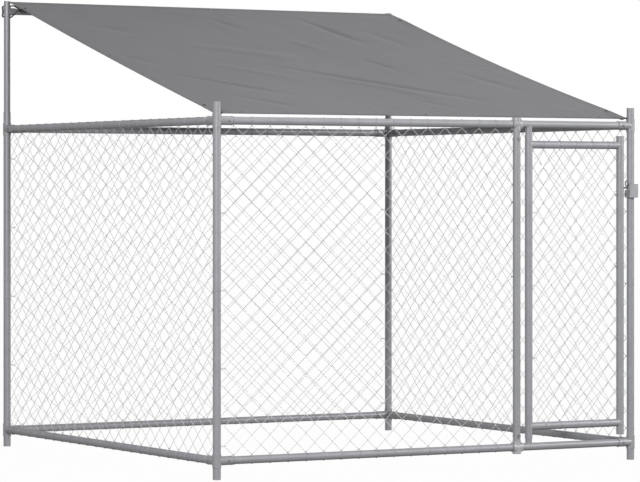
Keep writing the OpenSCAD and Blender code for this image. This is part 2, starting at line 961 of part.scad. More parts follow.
module cord(stations, steps, start) {
    line = smooth(stations, steps);
    sides = side_vectors(line, start);
    n = cord_sides;
    rings = len(line);
    points = [
        for (i = [0:rings - 1])
            let (u = sides[i], w = cross(heading(line, i), u))
            for (k = [0:n - 1])
                spot(line[i]) + line[i][3] * (cos(360 * k / n) * u + sin(360 * k / n) * w)
    ];
    walls = [
        for (i = [0:rings - 2], k = [0:n - 1])
            let (a = i * n + k, b = i * n + (k + 1) % n)
            each [[a, a + n, b + n], [a, b + n, b]]
    ];
    foot = [for (k = [1:n - 2]) [0, k, k + 1]];
    last = (rings - 1) * n;
    head = [for (k = [1:n - 2]) [last, last + k + 1, last + k]];
    polyhedron(points = points, faces = concat(walls, foot, head));
}

// Half width of the knots that end a cord, and of the one that can't pass an eyelet
knot_r = 5;
stop_knot_r = eyelet_bore / 2 + 1;

// A point beside the sheet's edge: out is measured outwards from the edge, w above the sheet
function edge_point(side_sign, out, v, w) = slope_point(side_sign * (sheet_w / 2 + out), v, w);

// From the knot on an eyelet's upper face, down through the eyelet at v
function stop_stations(side_sign, v) =
    let (
        out = -eyelet_in,
        seat = sheet_t / 2 + flange_t
    )
    [
        [each edge_point(side_sign, out, v, seat + 9.5), 1],
        [each edge_point(side_sign, out, v, seat + 8), stop_knot_r * 0.6],
        [each edge_point(side_sign, out, v, seat + 5), stop_knot_r * 0.95],
        [each edge_point(side_sign, out, v, seat + 2.1), stop_knot_r],
        [each edge_point(side_sign, out, v, seat - 0.2), stop_knot_r - 1.6],
        [each edge_point(side_sign, out, v, -1.5), tie_r],
        [each edge_point(side_sign, out, v, -5), tie_r]
    ];

// From the eyelet down the slope under the sheet, and through the post's wall to a knot inside
function front_tie_stations(side_sign) =
    let (
        v = eyelet_corner,
        post = [side_sign * half_w, -half_d, tie_hole_z]
    )
    [
        each stop_stations(side_sign, v),
        [each edge_point(side_sign, -20, v - 7, -9.5), tie_r],
        [each edge_point(side_sign, -21, v - 34, -9), tie_r],
        [each edge_point(side_sign, -24, v - 94, -8), tie_r],
        [each edge_point(side_sign, -27, 12, -8), tie_r],
        [each (post + [-side_sign * 27, 16, -6]), tie_r],
        [each (post + [-side_sign * 26, 5, -1.5]), tie_r],
        [each (post + [-side_sign * 22.5, 0.5, 0]), tie_r],
        [each (post + [-side_sign * 15, 0, 0]), tie_r],
        [each (post + [-side_sign * 9, 0, 0]), knot_r],
        [each (post + [-side_sign * 6, 0, 0]), knot_r],
        [each (post + [-side_sign * 2.5, 0, 0]), 1]
    ];

module roof_tie_front(side_sign) {
    color(black)
        cord(front_tie_stations(side_sign), 3, [0, 1, 0]);
}

// From the eyelet over the ridge connector, behind the roof tube, down its outer side,
// and back under the connector to a knot on the first strand
function back_tie_stations(side_sign) =
    let (
        v = sheet_l - eyelet_corner,
        clear = ridge_sleeve_r + tie_r + fit,
        top = ridge_sleeve_h / 2 + tie_r + fit,
        corner = [side_sign * half_w, half_d, ridge_z]
    )
    [
        each stop_stations(side_sign, v),
        [each edge_point(side_sign, -21, v + 8, -9.5), tie_r],
        [each (corner + [-side_sign * 24, -100, 3]), tie_r],
        [each (corner + [-side_sign * 24, -60, 14]), tie_r],
        [each (corner + [-side_sign * 24, -20, top - 1]), tie_r],
        [each (corner + [-side_sign * 22, 8, top]), tie_r],
        [each (corner + [-side_sign * 12, clear, top]), tie_r],
        [each (corner + [side_sign * 6, clear, top - 1]), tie_r],
        [each (corner + [side_sign * (clear - 2), 12, top - 6]), tie_r],
        [each (corner + [side_sign * clear, 4, 8]), tie_r],
        [each (corner + [side_sign * clear, 4, -8]), tie_r],
        [each (corner + [side_sign * (clear - 2), 12, 6 - top]), tie_r],
        [each (corner + [side_sign * 6, clear, 1 - top]), tie_r],
        [each (corner + [-side_sign * 12, clear, -top]), tie_r],
        [each (corner + [-side_sign * 22, 8, -top]), tie_r],
        [each (corner + [-side_sign * 30, -18, 2 - top]), tie_r],
        [each (corner + [-side_sign * 27, -45, -10]), tie_r],
        [each (corner + [-side_sign * 24.5, -66, -1]), tie_r],
        [each (corner + [-side_sign * 24, -72, 1]), knot_r * 0.9],
        [each (corner + [-side_sign * 24, -76, 2]), knot_r * 0.9],
        [each (corner + [-side_sign * 24, -80, 3]), 1]
    ];

module roof_tie_back(side_sign) {
    color(black)
        cord(back_tie_stations(side_sign), 2, [0, 1, 0]);
}

front_post(-1);  // post_front_left
front_post(1);  // post_front_right
back_post(-1);  // post_back_left
back_post(1);  // post_back_right
roof_tube(-1);  // roof_tube_left
roof_tube(1);  // roof_tube_right
gate_post();
side_rail(FRONT, rail_high_z);  // rail_front_top
side_rail(FRONT, rail_low_z);  // rail_front_bottom
side_rail(BACK, rail_high_z);  // rail_back_top
side_rail(BACK, rail_low_z);  // rail_back_bottom
side_rail(LEFT, rail_high_z);  // rail_left_top
side_rail(LEFT, rail_low_z);  // rail_left_bottom
side_rail(RIGHT, rail_high_z);  // rail_right_top
side_rail(RIGHT, rail_low_z);  // rail_right_bottom
ridge_bar();
corner_fitting(0, rail_high_z);  // corner_fitting_front_left_top
corner_fitting(0, rail_low_z);  // corner_fitting_front_left_bottom
corner_fitting(1, rail_high_z);  // corner_fitting_front_right_top
corner_fitting(1, rail_low_z);  // corner_fitting_front_right_bottom
corner_fitting(3, rail_high_z);  // corner_fitting_back_left_top
corner_fitting(3, rail_low_z);  // corner_fitting_back_left_bottom
corner_fitting(2, rail_high_z);  // corner_fitting_back_right_top
corner_fitting(2, rail_low_z);  // corner_fitting_back_right_bottom
ridge_connector(-1);  // ridge_connector_left
ridge_connector(1);  // ridge_connector_right
gate_tee_top();
gate_tee_bottom();
gate_tee_bolts();
fitting_screws();
roof_frame_screws();
hinge_pin(rail_high_z, gate_gap_top, false);  // hinge_pin_top
hinge_pin(rail_low_z, gate_gap_bottom, true);  // hinge_pin_bottom
gate_hinge_stile();
gate_latch_stile();
gate_rail(gate_high_z);  // gate_rail_top
gate_rail(gate_low_z);  // gate_rail_bottom
gate_net();
front_net();
side_net(LEFT);  // left_net
side_net(RIGHT);  // right_net
side_net(BACK);  // back_net
gate_net_ties();
front_net_ties();
side_net_ties(LEFT, 1);  // left_net_ties
side_net_ties(RIGHT, 1);  // right_net_ties
side_net_ties(BACK, 0);  // back_net_ties
latch_bracket();
latch_bracket_bolt();
latch_bolt();
latch_ring();
roof_tarp();
roof_eyelets();
roof_tie_front(-1);  // roof_tie_front_left
roof_tie_front(1);  // roof_tie_front_right
roof_tie_back(-1);  // roof_tie_back_left
roof_tie_back(1);  // roof_tie_back_right
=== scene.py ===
"""Outdoor dog run: the looks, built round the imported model. Lengths are in metres."""
import math
import random

import bmesh
import bpy
from mathutils import Matrix, Vector

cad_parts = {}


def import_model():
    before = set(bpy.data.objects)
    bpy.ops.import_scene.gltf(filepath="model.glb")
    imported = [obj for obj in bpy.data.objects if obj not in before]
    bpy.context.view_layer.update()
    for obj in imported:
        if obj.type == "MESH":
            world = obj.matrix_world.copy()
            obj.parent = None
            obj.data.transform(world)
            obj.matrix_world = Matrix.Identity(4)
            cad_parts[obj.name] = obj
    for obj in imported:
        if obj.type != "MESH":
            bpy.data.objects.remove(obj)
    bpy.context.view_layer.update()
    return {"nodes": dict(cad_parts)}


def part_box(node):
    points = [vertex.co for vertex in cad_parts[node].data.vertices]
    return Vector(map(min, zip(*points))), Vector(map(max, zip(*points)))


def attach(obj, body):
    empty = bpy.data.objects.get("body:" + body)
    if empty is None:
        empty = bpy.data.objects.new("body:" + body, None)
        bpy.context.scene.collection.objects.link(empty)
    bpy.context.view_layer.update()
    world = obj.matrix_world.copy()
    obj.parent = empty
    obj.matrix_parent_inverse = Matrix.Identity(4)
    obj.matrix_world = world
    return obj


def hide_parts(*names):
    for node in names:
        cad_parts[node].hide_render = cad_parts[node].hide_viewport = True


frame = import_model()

MM = 0.001
TAU = 2 * math.pi


# Places and sizes taken from the frame

def middle(node):
    """The middle of a CAD node's box."""
    low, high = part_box(node)
    return (Vector(low) + Vector(high)) / 2


def size(node):
    """The size of a CAD node's box."""
    low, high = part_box(node)
    return Vector(high) - Vector(low)


TUBE_R = size("gate_hinge_stile").x / 2
HALF_W = middle("post_front_right").x
HALF_D = middle("post_back_right").y
RAIL_LOW = middle("rail_front_bottom").z
RAIL_HIGH = middle("rail_front_top").z
GATE_POST_X = middle("gate_post").x
HINGE_X = middle("gate_hinge_stile").x
LATCH_X = middle("gate_latch_stile").x
GATE_LOW = middle("gate_rail_bottom").z
GATE_HIGH = middle("gate_rail_top").z
RIDGE_Z = middle("ridge_bar").z


# Node trees written as Python expressions

class Wire:
    """An output socket. Arithmetic on it adds Math nodes to its tree."""

    def __init__(self, graph, node, out=0):
        self.graph = graph
        self.node = node
        self.socket = node.outputs[out]

    def out(self, name):
        return Wire(self.graph, self.node, name)

    def math(self, operation, *values):
        return self.graph.add("ShaderNodeMath", {"operation": operation}, dict(enumerate(values)))

    def __add__(self, other):
        return self.math("ADD", self, other)

    __radd__ = __add__

    def __sub__(self, other):
        return self.math("SUBTRACT", self, other)

    def __rsub__(self, other):
        return self.math("SUBTRACT", other, self)

    def __mul__(self, other):
        return self.math("MULTIPLY", self, other)

    __rmul__ = __mul__

    def __truediv__(self, other):
        return self.math("DIVIDE", self, other)

    def __mod__(self, other):
        return self.math("MODULO", self, other)

    def floor(self):
        return self.math("FLOOR", self)

    def sin(self):
        return self.math("SINE", self)

    def abs(self):
        return self.math("ABSOLUTE", self)

    def least(self, other):
        return self.math("MINIMUM", self, other)

    def most(self, other):
        return self.math("MAXIMUM", self, other)

    def between(self, low, high):
        """This value's share of the way from low to high, smoothed and clamped to 0 and 1."""
        return self.graph.add(
            "ShaderNodeMapRange", {"interpolation_type": "SMOOTHSTEP"},
            {0: self, 1: low, 2: high, 3: 0.0, 4: 1.0},
        )


class Graph:
    """A node tree to which nodes are added by one method."""

    def __init__(self, tree):
        self.tree = tree

    def add(self, kind, settings=None, inputs=None, out=0):
        """A node of one kind: its settings are set first, then its sockets' values or links."""
        node = self.tree.nodes.new(kind)
        for key, value in (settings or {}).items():
            setattr(node, key, value)
        for key, value in (inputs or {}).items():
            self.plug(node.inputs[key], value)
        return Wire(self, node, out)

    def plug(self, socket, value):
        if isinstance(value, Wire):
            self.tree.links.new(value.socket, socket)
        else:
            socket.default_value = value

    def vector(self, operation, *values):
        return self.add("ShaderNodeVectorMath", {"operation": operation}, dict(enumerate(values)))

    def combine(self, x, y, z):
        return self.add("ShaderNodeCombineXYZ", None, {0: x, 1: y, 2: z})


class Look(Graph):
    """A material on the Principled shader, patterned in Object coordinates or along a UV map."""

    def __init__(self, name, colour, roughness, metallic=0.0, coat=0.0, coat_roughness=0.3):
        self.material = bpy.data.materials.new(name)
        self.material.use_nodes = True
        super().__init__(self.material.node_tree)
        self.shader = self.tree.nodes["Principled BSDF"]
        self.set("Base Color", (*colour, 1))
        self.set("Roughness", roughness)
        self.set("Metallic", metallic)
        self.set("Coat Weight", coat)
        self.set("Coat Roughness", coat_roughness)

    def set(self, socket, value):
        self.plug(self.shader.inputs[socket], value)

    def place(self):
        return self.add("ShaderNodeTexCoord", None, None, "Object")

    def stretched(self, place, scale):
        return self.vector("MULTIPLY", place, scale)

    def noise(self, place, scale, detail, roughness):
        return self.add(
            "ShaderNodeTexNoise", None,
            {"Vector": place, "Scale": scale, "Detail": detail, "Roughness": roughness},
        )

    def cells(self, place, scale, out, **settings):
        return self.add("ShaderNodeTexVoronoi", settings, {"Vector": place, "Scale": scale}, out)

    def mix(self, factor, a, b):
        inputs = {0: factor, 6: a, 7: b}
        return self.add("ShaderNodeMix", {"data_type": "RGBA"}, inputs, 2)

    def shade(self, factor, colour):
        """A colour times a number that varies over the surface."""
        grey = self.combine(factor, factor, factor)
        return self.vector("MULTIPLY", grey, colour)

    def bump(self, height, distance, strength, under=None):
        inputs = {"Height": height, "Distance": distance, "Strength": strength}
        if under is not None:
            inputs["Normal"] = under
        normal = self.add("ShaderNodeBump", None, inputs)
        self.set("Normal", normal)
        return normal


# Materials

def galvanised(name, colour, along, roughness=0.42, metallic=0.25, mottle=0.12):
    """Zinc on steel: faint crystals, soft handling marks, and drawn lines along x, y or z."""
    look = Look(name, colour, roughness, metallic)
    look.set("Specular IOR Level", 0.0)
    place = look.place()
    squeeze = {"x": (0.04, 1, 1), "y": (1, 0.04, 1), "z": (1, 1, 0.04), "": (1, 1, 1)}[along]
    crystals = look.cells(place, 90.0, "Color")
    crystal = look.add("ShaderNodeSeparateColor", None, {0: crystals})
    drawn = look.noise(look.stretched(place, squeeze), 420.0, 3.0, 0.6)
    cloud = look.noise(place, 9.0, 4.0, 0.6)
    smudge = look.noise(place, 34.0, 3.0, 0.55)
    tone = (
        1.0
        + (crystal - 0.5) * mottle * 0.5
        + (cloud - 0.5) * mottle * 2.0
        + (drawn - 0.5) * mottle * 0.8
    )
    look.set("Base Color", look.shade(tone, colour))
    rough = roughness + (cloud - 0.5) * 0.16 + (crystal - 0.5) * 0.10 + (smudge - 0.5) * 0.12
    look.set("Roughness", rough.most(0.12))
    look.bump(drawn * 0.6 + smudge * 0.4, 0.00012, 0.5)
    return look.material


def fastener_zinc():
    """Dark passivated zinc, rubbed brighter in patches and marked by the spanner."""
    colour = (0.20, 0.20, 0.21)
    look = Look("dark_fastener_zinc", colour, 0.4, 0.7)
    place = look.place()
    grime = look.noise(place, 260.0, 4.0, 0.6)
    rubbed = look.noise(place, 90.0, 3.0, 0.7).between(0.52, 0.68)
    tone = look.shade(0.8 + grime * 0.5, colour)
    look.set("Base Color", look.mix(rubbed * 0.5, tone, (0.30, 0.30, 0.31, 1)))
    look.set("Roughness", 0.3 + grime * 0.3)
    look.bump(grime, 0.0001, 0.4)
    return look.material


def tarpaulin():
    """Woven polyethylene under a film: a fine basket weave, soft creases, a milky bloom, and painted
    light and shade in broad streaks along the folds.
    """
    colour = (0.182, 0.182, 0.194)
    look = Look("grey_tarpaulin", colour, 0.55)
    look.set("Specular IOR Level", 0.03)
    uv = look.add("ShaderNodeUVMap", {"uv_map": "cloth"})
    tapes = 2.4 * MM
    across = look.add("ShaderNodeSeparateXYZ", None, {0: uv})
    warp = (across.out("X") * (TAU / tapes)).sin()
    weft = (across.out("Y") * (TAU / tapes)).sin()
    weave = warp * weft
    ribs = warp.abs().most(weft.abs())
    # Painted shade and light: broad streaks of darker and lighter colour, standing in for how light
    # falls across folds
    painted_fold_shade = look.noise(look.stretched(uv, (1.0, 0.55, 1.0)), 3.2, 3.0, 0.5)
    cloud = look.noise(uv, 1.7, 4.0, 0.55)
    scuffs = look.noise(look.stretched(uv, (1.0, 3.0, 1.0)), 26.0, 5.0, 0.65)
    tone = 0.94 + painted_fold_shade * 0.10 + (cloud - 0.5) * 0.16 + (scuffs - 0.5) * 0.05 + weave * 0.02
    look.set("Base Color", look.shade(tone, colour))
    look.set("Roughness", 0.46 + (scuffs - 0.5) * 0.2 + weave * 0.03)
    crumple = look.cells(look.stretched(uv, (1.0, 0.7, 1.0)), 9.0, "Distance", feature="SMOOTH_F1")
    soft = look.bump(crumple, 0.004, 0.25)
    look.bump(weave * 0.6 + ribs * 0.4, 0.00018, 0.55, soft)
    return look.material


def hem_tape():
    """The doubled edge of the sheet, welded over a cord."""
    colour = (0.168, 0.168, 0.179)
    look = Look("welded_hem", colour, 0.5)
    look.set("Specular IOR Level", 0.03)
    uv = look.add("ShaderNodeUVMap", {"uv_map": "cloth"})
    across = look.add("ShaderNodeSeparateXYZ", None, {0: uv})
    press = 3.5 * MM
    grid = (across.out("X") * (TAU / press)).sin() * (across.out("Y") * (TAU / press)).sin()
    cloud = look.noise(uv, 12.0, 4.0, 0.6)
    look.set("Base Color", look.shade(0.92 + cloud * 0.16 + grid * 0.02, colour))
    look.set("Roughness", 0.36 + cloud * 0.16)
    look.bump(grid, 0.0003, 0.5)
    return look.material


def elastic_sheath():
    """The braided sheath of an elastic cord, with a pale fleck at each crossing."""
    colour = (0.012, 0.012, 0.013)
    look = Look("braided_elastic", colour, 0.62)
    look.set("Sheen Weight", 0.25)
    uv = look.add("ShaderNodeUVMap", {"uv_map": "cord"})
    part = look.add("ShaderNodeSeparateXYZ", None, {0: uv})
    plaits = 8
    pitch = 5.0 * MM
    up = (part.out("X") * (TAU * plaits) + part.out("Y") * (TAU / pitch)).sin()
    down = (part.out("X") * (TAU * plaits) - part.out("Y") * (TAU / pitch)).sin()
    braid = up.most(down)
    fleck = (up * down).between(0.55, 0.95)
    look.set("Base Color", look.mix(fleck, (*colour, 1), (0.05, 0.05, 0.052, 1)))
    look.set("Roughness", 0.7 - braid * 0.12)
    look.bump(braid, 0.0004, 0.9)
    return look.material


def eyelet_plastic():
    """Moulded dark eyelets, slightly glossy and scuffed."""
    colour = (0.055, 0.055, 0.058)
    look = Look("dark_eyelet", colour, 0.34, 0.0, 0.3, 0.2)
    place = look.place()
    scuffs = look.noise(place, 300.0, 4.0, 0.65)
    dust = look.noise(place, 60.0, 3.0, 0.6).between(0.5, 0.75)
    look.set("Base Color", look.mix(dust * 0.35, (*colour, 1), (0.16, 0.16, 0.155, 1)))
    look.set("Roughness", 0.25 + scuffs * 0.3)
    look.bump(scuffs, 0.0001, 0.3)
    return look.material


def weld_metal():
    """Weld beads under zinc paint: rippled and a little brighter than the tube."""
    colour = (0.42, 0.42, 0.43)
    look = Look("zinc_painted_weld", colour, 0.42, 0.5)
    place = look.place()
    ripples = look.noise(place, 700.0, 2.0, 0.5)
    lumps = look.noise(place, 190.0, 3.0, 0.5)
    look.set("Base Color", look.shade(0.8 + lumps * 0.4, colour))
    look.set("Roughness", 0.35 + ripples * 0.2)
    look.bump(ripples * 0.5 + lumps, 0.0006, 0.8)
    return look.material


TUBE_COLOUR = (0.385, 0.387, 0.408)
FITTING_COLOUR = (0.37, 0.371, 0.39)
WIRE_COLOUR = (0.70, 0.70, 0.71)

ZINC = {along: galvanised("zinc_tube_" + along, TUBE_COLOUR, along) for along in "xyz"}
FITTING_ZINC = galvanised("zinc_fitting", FITTING_COLOUR, "", 0.42, 0.3, 0.2)
WIRE_ZINC = galvanised("zinc_wire", WIRE_COLOUR, "", 0.36, 0.3, 0.10)
BRIGHT_ZINC = galvanised("bright_zinc", (0.45, 0.45, 0.47), "", 0.24, 0.5, 0.25)
SCREW_ZINC = galvanised("screw_zinc", (0.27, 0.27, 0.28), "", 0.4, 0.4, 0.2)
TIE_ZINC = galvanised("zinc_tie_wire", (0.50, 0.50, 0.51), "", 0.4, 0.3, 0.12)
FASTENER = fastener_zinc()
TARPAULIN = tarpaulin()
HEM = hem_tape()
ELASTIC = elastic_sheath()
EYELET = eyelet_plastic()
WELD = weld_metal()


# The CAD nodes that show as they are

def dress(node, material):
    for slot in frame["nodes"][node].material_slots:
        slot.material = material


for node in frame["nodes"]:
    if node.startswith(("post_", "roof_tube_", "gate_post", "gate_hinge_stile", "gate_latch_stile")):
        dress(node, ZINC["z"])
    elif node.startswith(("rail_front", "rail_back", "ridge_bar", "gate_rail")):
        dress(node, ZINC["x"])
    elif node.startswith(("rail_left", "rail_right")):
        dress(node, ZINC["y"])
    elif node.startswith(("corner_fitting", "ridge_connector", "hinge_pin", "latch_bracket")):
        dress(node, FITTING_ZINC)
    elif node in ("gate_tee_top", "gate_tee_bottom"):
        dress(node, BRIGHT_ZINC)
    elif node in ("gate_tee_bolts", "latch_bolt", "latch_ring"):
        dress(node, FASTENER)


# Meshes in code

def mesh_piece(name, points, faces, material, smooth=True):
    mesh = bpy.data.meshes.new(name)
    mesh.from_pydata([tuple(p) for p in points], [], faces)
    mesh.polygons.foreach_set("use_smooth", [smooth] * len(mesh.polygons))
    mesh.materials.append(material)
    mesh.update()
    piece = bpy.data.objects.new(name, mesh)
    bpy.context.scene.collection.objects.link(piece)
    return piece


def turning_frames(path):
    """For each point of a path, two directions across it that turn as little as they can."""
    last = len(path) - 1
    headings = [
        (path[min(last, i + 1)] - path[max(0, i - 1)]).normalized() for i in range(last + 1)
    ]
    start = Vector((0, 0, 1)) if abs(headings[0].z) < 0.9 else Vector((1, 0, 0))
    side = headings[0].cross(start).normalized()
    frames = []
    for heading in headings:
        side = (side - heading * side.dot(heading)).normalized()
        frames.append((side, heading.cross(side)))
    return frames


def sweep(path, radii, sides, offset=0):
    """Points and faces of a capped tube along a path, with a radius at each point."""
    frames = turning_frames(path)
    points = []
    for spot, (u, v), r in zip(path, frames, radii):
        for k in range(sides):
            angle = TAU * k / sides
            points.append(spot + (u * math.cos(angle) + v * math.sin(angle)) * r)
    faces = []
    for i in range(len(path) - 1):
        for k in range(sides):
            a = offset + i * sides + k
            b = offset + i * sides + (k + 1) % sides
            faces.append((a, b, b + sides, a + sides))
    faces.append(tuple(offset + k for k in reversed(range(sides))))
    end = offset + (len(path) - 1) * sides
    faces.append(tuple(end + k for k in range(sides)))
    return points, faces


def smooth_path(stations, steps):
    """A smooth curve through given stations; each station is a tuple of numbers."""
    line = []
    last = len(stations) - 1
    for i in range(last):
        a = stations[max(0, i - 1)]
        b = stations[i]
        c = stations[i + 1]
        d = stations[min(last, i + 2)]
        for s in range(steps):
            t = s / steps
            line.append(tuple(
                (2 * q + (r - p) * t + (2 * p - 5 * q + 4 * r - w) * t * t
                 + (3 * q - p - 3 * r + w) * t ** 3) / 2
                for p, q, r, w in zip(a, b, c, d)
            ))
    line.append(tuple(stations[last]))
    return line


# Repeats by Geometry Nodes

def new_tree(name, inputs):
    """A Geometry Nodes tree with named inputs: {name: socket type}."""
    tree = bpy.data.node_groups.new(name, "GeometryNodeTree")
    tree.interface.new_socket("Geometry", in_out="INPUT", socket_type="NodeSocketGeometry")
    tree.interface.new_socket("Geometry", in_out="OUTPUT", socket_type="NodeSocketGeometry")
    for key, kind in inputs.items():
        tree.interface.new_socket(key, in_out="INPUT", socket_type="NodeSocket" + kind)
    graph = Graph(tree)
    source = tree.nodes.new("NodeGroupInput")
    return tree, graph, {key: Wire(graph, source, key) for key in ["Geometry", *inputs]}


def close_tree(graph, geometry, material):
    """Ends a tree: instances made real, shaded smooth, with their material."""
    real = graph.add("GeometryNodeRealizeInstances", None, {"Geometry": geometry})
    smooth = graph.add("GeometryNodeSetShadeSmooth", None, {"Geometry": real})
    finished = graph.add(
        "GeometryNodeSetMaterial", None, {"Geometry": smooth, "Material": material}
    )
    sink = graph.tree.nodes.new("NodeGroupOutput")
    graph.plug(sink.inputs["Geometry"], finished)


def grown(name, tree, values, base=None):
    """A plain mesh grown by a tree, whose inputs are set by name here and by identifier there."""
    mesh = base or bpy.data.meshes.new(name)
    piece = bpy.data.objects.new(name, mesh)
    bpy.context.scene.collection.objects.link(piece)
    modifier = piece.modifiers.new("grow", "NODES")
    modifier.node_group = tree
    for item in tree.interface.items_tree:
        if item.in_out == "INPUT" and item.name in values:
            modifier[item.identifier] = values[item.name]
    depsgraph = bpy.context.evaluated_depsgraph_get()
    result = bpy.data.meshes.new_from_object(piece.evaluated_get(depsgraph), depsgraph=depsgraph)
    piece.modifiers.clear()
    piece.data = result
    result.name = name
    return piece


PICKET_STEPS = 6
# How strongly the points of a picket crowd towards its bends
CROWDING = 0.143
# Share of each half turn in which the wire goes from a bend's middle out to a face of the net
BEND_SHARE = 0.045
# Distance of a picket's wire from the net's middle plane, as a share of the wire's radius
FACE_SHARE = 1.05
WIRE_SIDES = 6


def chain_link_tree():
    """Woven chain link in the XZ plane: flattened spirals that hook into their neighbours."""
    tree, g, inputs = new_tree("chain_link", {
        "Half Diamond": "Float", "Row Height": "Float", "Columns": "Int", "Rows": "Int",
        "Wire Radius": "Float", "Slack": "Float", "Seed": "Float", "Material": "Material",
    })
    wire_r = inputs["Wire Radius"]
    half = inputs["Half Diamond"]
    index = g.add("GeometryNodeInputIndex")
    share = index / PICKET_STEPS
    row = share.floor()
    even = share - row
    along = even - (even * TAU).sin() * CROWDING

    def picket(parity):
        side = (row + parity) % 2.0
        across = along + side - 2.0 * side * along
        flat = (along.least(1.0 - along) / BEND_SHARE).least(1.0)
        depth = flat * (1.0 - 2.0 * side) * wire_r * FACE_SHARE
        spot = g.combine(
            across * (half + 2.0 * wire_r) - wire_r, depth, (row + along) * inputs["Row Height"]
        )
        line = g.add("GeometryNodeMeshLine", None, {"Count": inputs["Rows"] * PICKET_STEPS + 1.0})
        bent = g.add("GeometryNodeSetPosition", None, {"Geometry": line, "Position": spot})
        curve = g.add("GeometryNodeMeshToCurve", None, {"Mesh": bent})
        ring = g.add(
            "GeometryNodeCurvePrimitiveCircle", None, {"Resolution": WIRE_SIDES, "Radius": wire_r}
        )
        return g.add("GeometryNodeCurveToMesh", None, {
            "Curve": curve, "Profile Curve": ring, "Fill Caps": True,
        })

    posts = g.add("GeometryNodeMeshLine", None, {
        "Count": inputs["Columns"], "Offset": g.combine(half, 0.0, 0.0),
    })
    odd = index % 2.0
    pair = g.add("GeometryNodeJoinGeometry")
    for parity, chosen in ((1.0, 1.0 - odd), (0.0, odd)):
        rank = g.add("GeometryNodeInstanceOnPoints", None, {
            "Points": posts, "Selection": chosen, "Instance": picket(parity),
        })
        g.plug(pair.node.inputs[0], rank)
    real = g.add("GeometryNodeRealizeInstances", None, {"Geometry": pair})
    place = g.add("GeometryNodeInputPosition")
    shifted = g.vector("ADD", place, g.combine(inputs["Seed"], inputs["Seed"], 0.0))
    wander = {"Vector": shifted, "Scale": 2.6, "Detail": 1.0}
    drift = g.add("ShaderNodeTexNoise", None, wander, "Color")
    centred = g.vector("SUBTRACT", drift, (0.5, 0.5, 0.5))
    slack = inputs["Slack"]
    offset = g.vector("MULTIPLY", centred, g.combine(slack, slack * 2.0, slack))
    slackened = g.add("GeometryNodeSetPosition", None, {"Geometry": real, "Offset": offset})
    close_tree(g, slackened, inputs["Material"])
    return tree


def set_out_tree():
    """Copies of a template at the points of a mesh, turned by the points' own attribute."""
    tree, g, inputs = new_tree("set_out", {"Template": "Object", "Material": "Material"})
    original = g.add(
        "GeometryNodeObjectInfo", {"transform_space": "ORIGINAL"}, {0: inputs["Template"]}, "Geometry"
    )
    turn = g.add(
        "GeometryNodeInputNamedAttribute", {"data_type": "FLOAT_VECTOR"}, {"Name": "turn"}, "Attribute"
    )
    copies = g.add("GeometryNodeInstanceOnPoints", None, {
        "Points": inputs["Geometry"], "Instance": original, "Rotation": turn,
    })
    close_tree(g, copies, inputs["Material"])
    return tree


CHAIN_LINK = chain_link_tree()
SET_OUT = set_out_tree()


def set_out(name, original, places, material):
    """One mesh of a template's copies; each place is (point, turn as Euler angles)."""
    base = bpy.data.meshes.new(name)
    base.from_pydata([tuple(point) for point, turn in places], [], [])
    layer = base.attributes.new("turn", "FLOAT_VECTOR", "POINT")
    for value, (point, turn) in zip(layer.data, places):
        value.vector = tuple(turn)
    return grown(name, SET_OUT, {"Template": original, "Material": material}, base)


def template(points, faces, name):
    """A hidden object that holds one copy of something repeated."""
    mesh = bpy.data.meshes.new(name)
    mesh.from_pydata([tuple(p) for p in points], [], faces)
    mesh.update()
    return bpy.data.objects.new(name, mesh)


# Chain-link panels

DIAMOND_W = 83.3 * MM
DIAMOND_H = 77.6 * MM
WIRE_R = 1.0 * MM
WRAP_WIRE_R = 0.85 * MM
# How far the slack in a net may carry its wires
NET_SLACK = 3 * MM
NET_EDGE = TUBE_R + 2.4 * MM
# Distances from the axes of a panel's left and right tubes to the bends beside them
WIDE_EDGE = 34.5 * MM
TIGHT_EDGE = 22.7 * MM
# Rows between ties on an upright: bends come every second row, so every fourth one is tied
TIE_ROWS = 8


class Panel:
    """A net between four tubes: low is where the axes of its lower and left tubes cross.

    Each picket is half a diamond wide, and the points at odd bends touch both rails.
    """

    def __init__(self, name, low, width, height, turn, body, seed, right_edge=WIDE_EDGE):
        self.name = name
        self.body = body
        self.width = width
        self.height = height
        self.right_edge = right_edge
        span = width - WIDE_EDGE - right_edge
        self.pickets = round(span / (DIAMOND_W / 2))
        self.rows = 2 * round((height - 2 * NET_EDGE) / DIAMOND_H)
        self.half = span / self.pickets
        self.row = (height - 2 * NET_EDGE) / self.rows
        self.place = Matrix.Translation(low) @ Matrix.Rotation(turn, 4, "Z")
        self.turn = turn
        self.seed = seed

    def net(self):
        piece = grown(self.name.replace("net", "chain_link"), CHAIN_LINK, {
            "Half Diamond": self.half, "Row Height": self.row,
            "Columns": self.pickets, "Rows": self.rows,
            "Wire Radius": WIRE_R, "Slack": NET_SLACK, "Seed": self.seed, "Material": WIRE_ZINC,
        })
        piece.data.transform(self.place @ Matrix.Translation((WIDE_EDGE, 0, NET_EDGE)))
        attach(piece, self.body)
        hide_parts(self.name)


SIDE_H = RAIL_HIGH - RAIL_LOW
PANELS = [
    Panel("front_net", Vector((-HALF_W, -HALF_D, RAIL_LOW)), HALF_W + GATE_POST_X, SIDE_H,
          0, "run_frame", 0.0, TIGHT_EDGE),
    Panel("right_net", Vector((HALF_W, -HALF_D, RAIL_LOW)), 2 * HALF_D, SIDE_H,
          TAU / 4, "run_frame", 5.0),
    Panel("back_net", Vector((HALF_W, HALF_D, RAIL_LOW)), 2 * HALF_W, SIDE_H,
          TAU / 2, "run_frame", 9.0),
    Panel("left_net", Vector((-HALF_W, HALF_D, RAIL_LOW)), 2 * HALF_D, SIDE_H,
          -TAU / 4, "run_frame", 14.0),
    Panel("gate_net", Vector((HINGE_X, -HALF_D, GATE_LOW)), LATCH_X - HINGE_X,
          GATE_HIGH - GATE_LOW, 0, "gate", 21.0, TIGHT_EDGE),
]


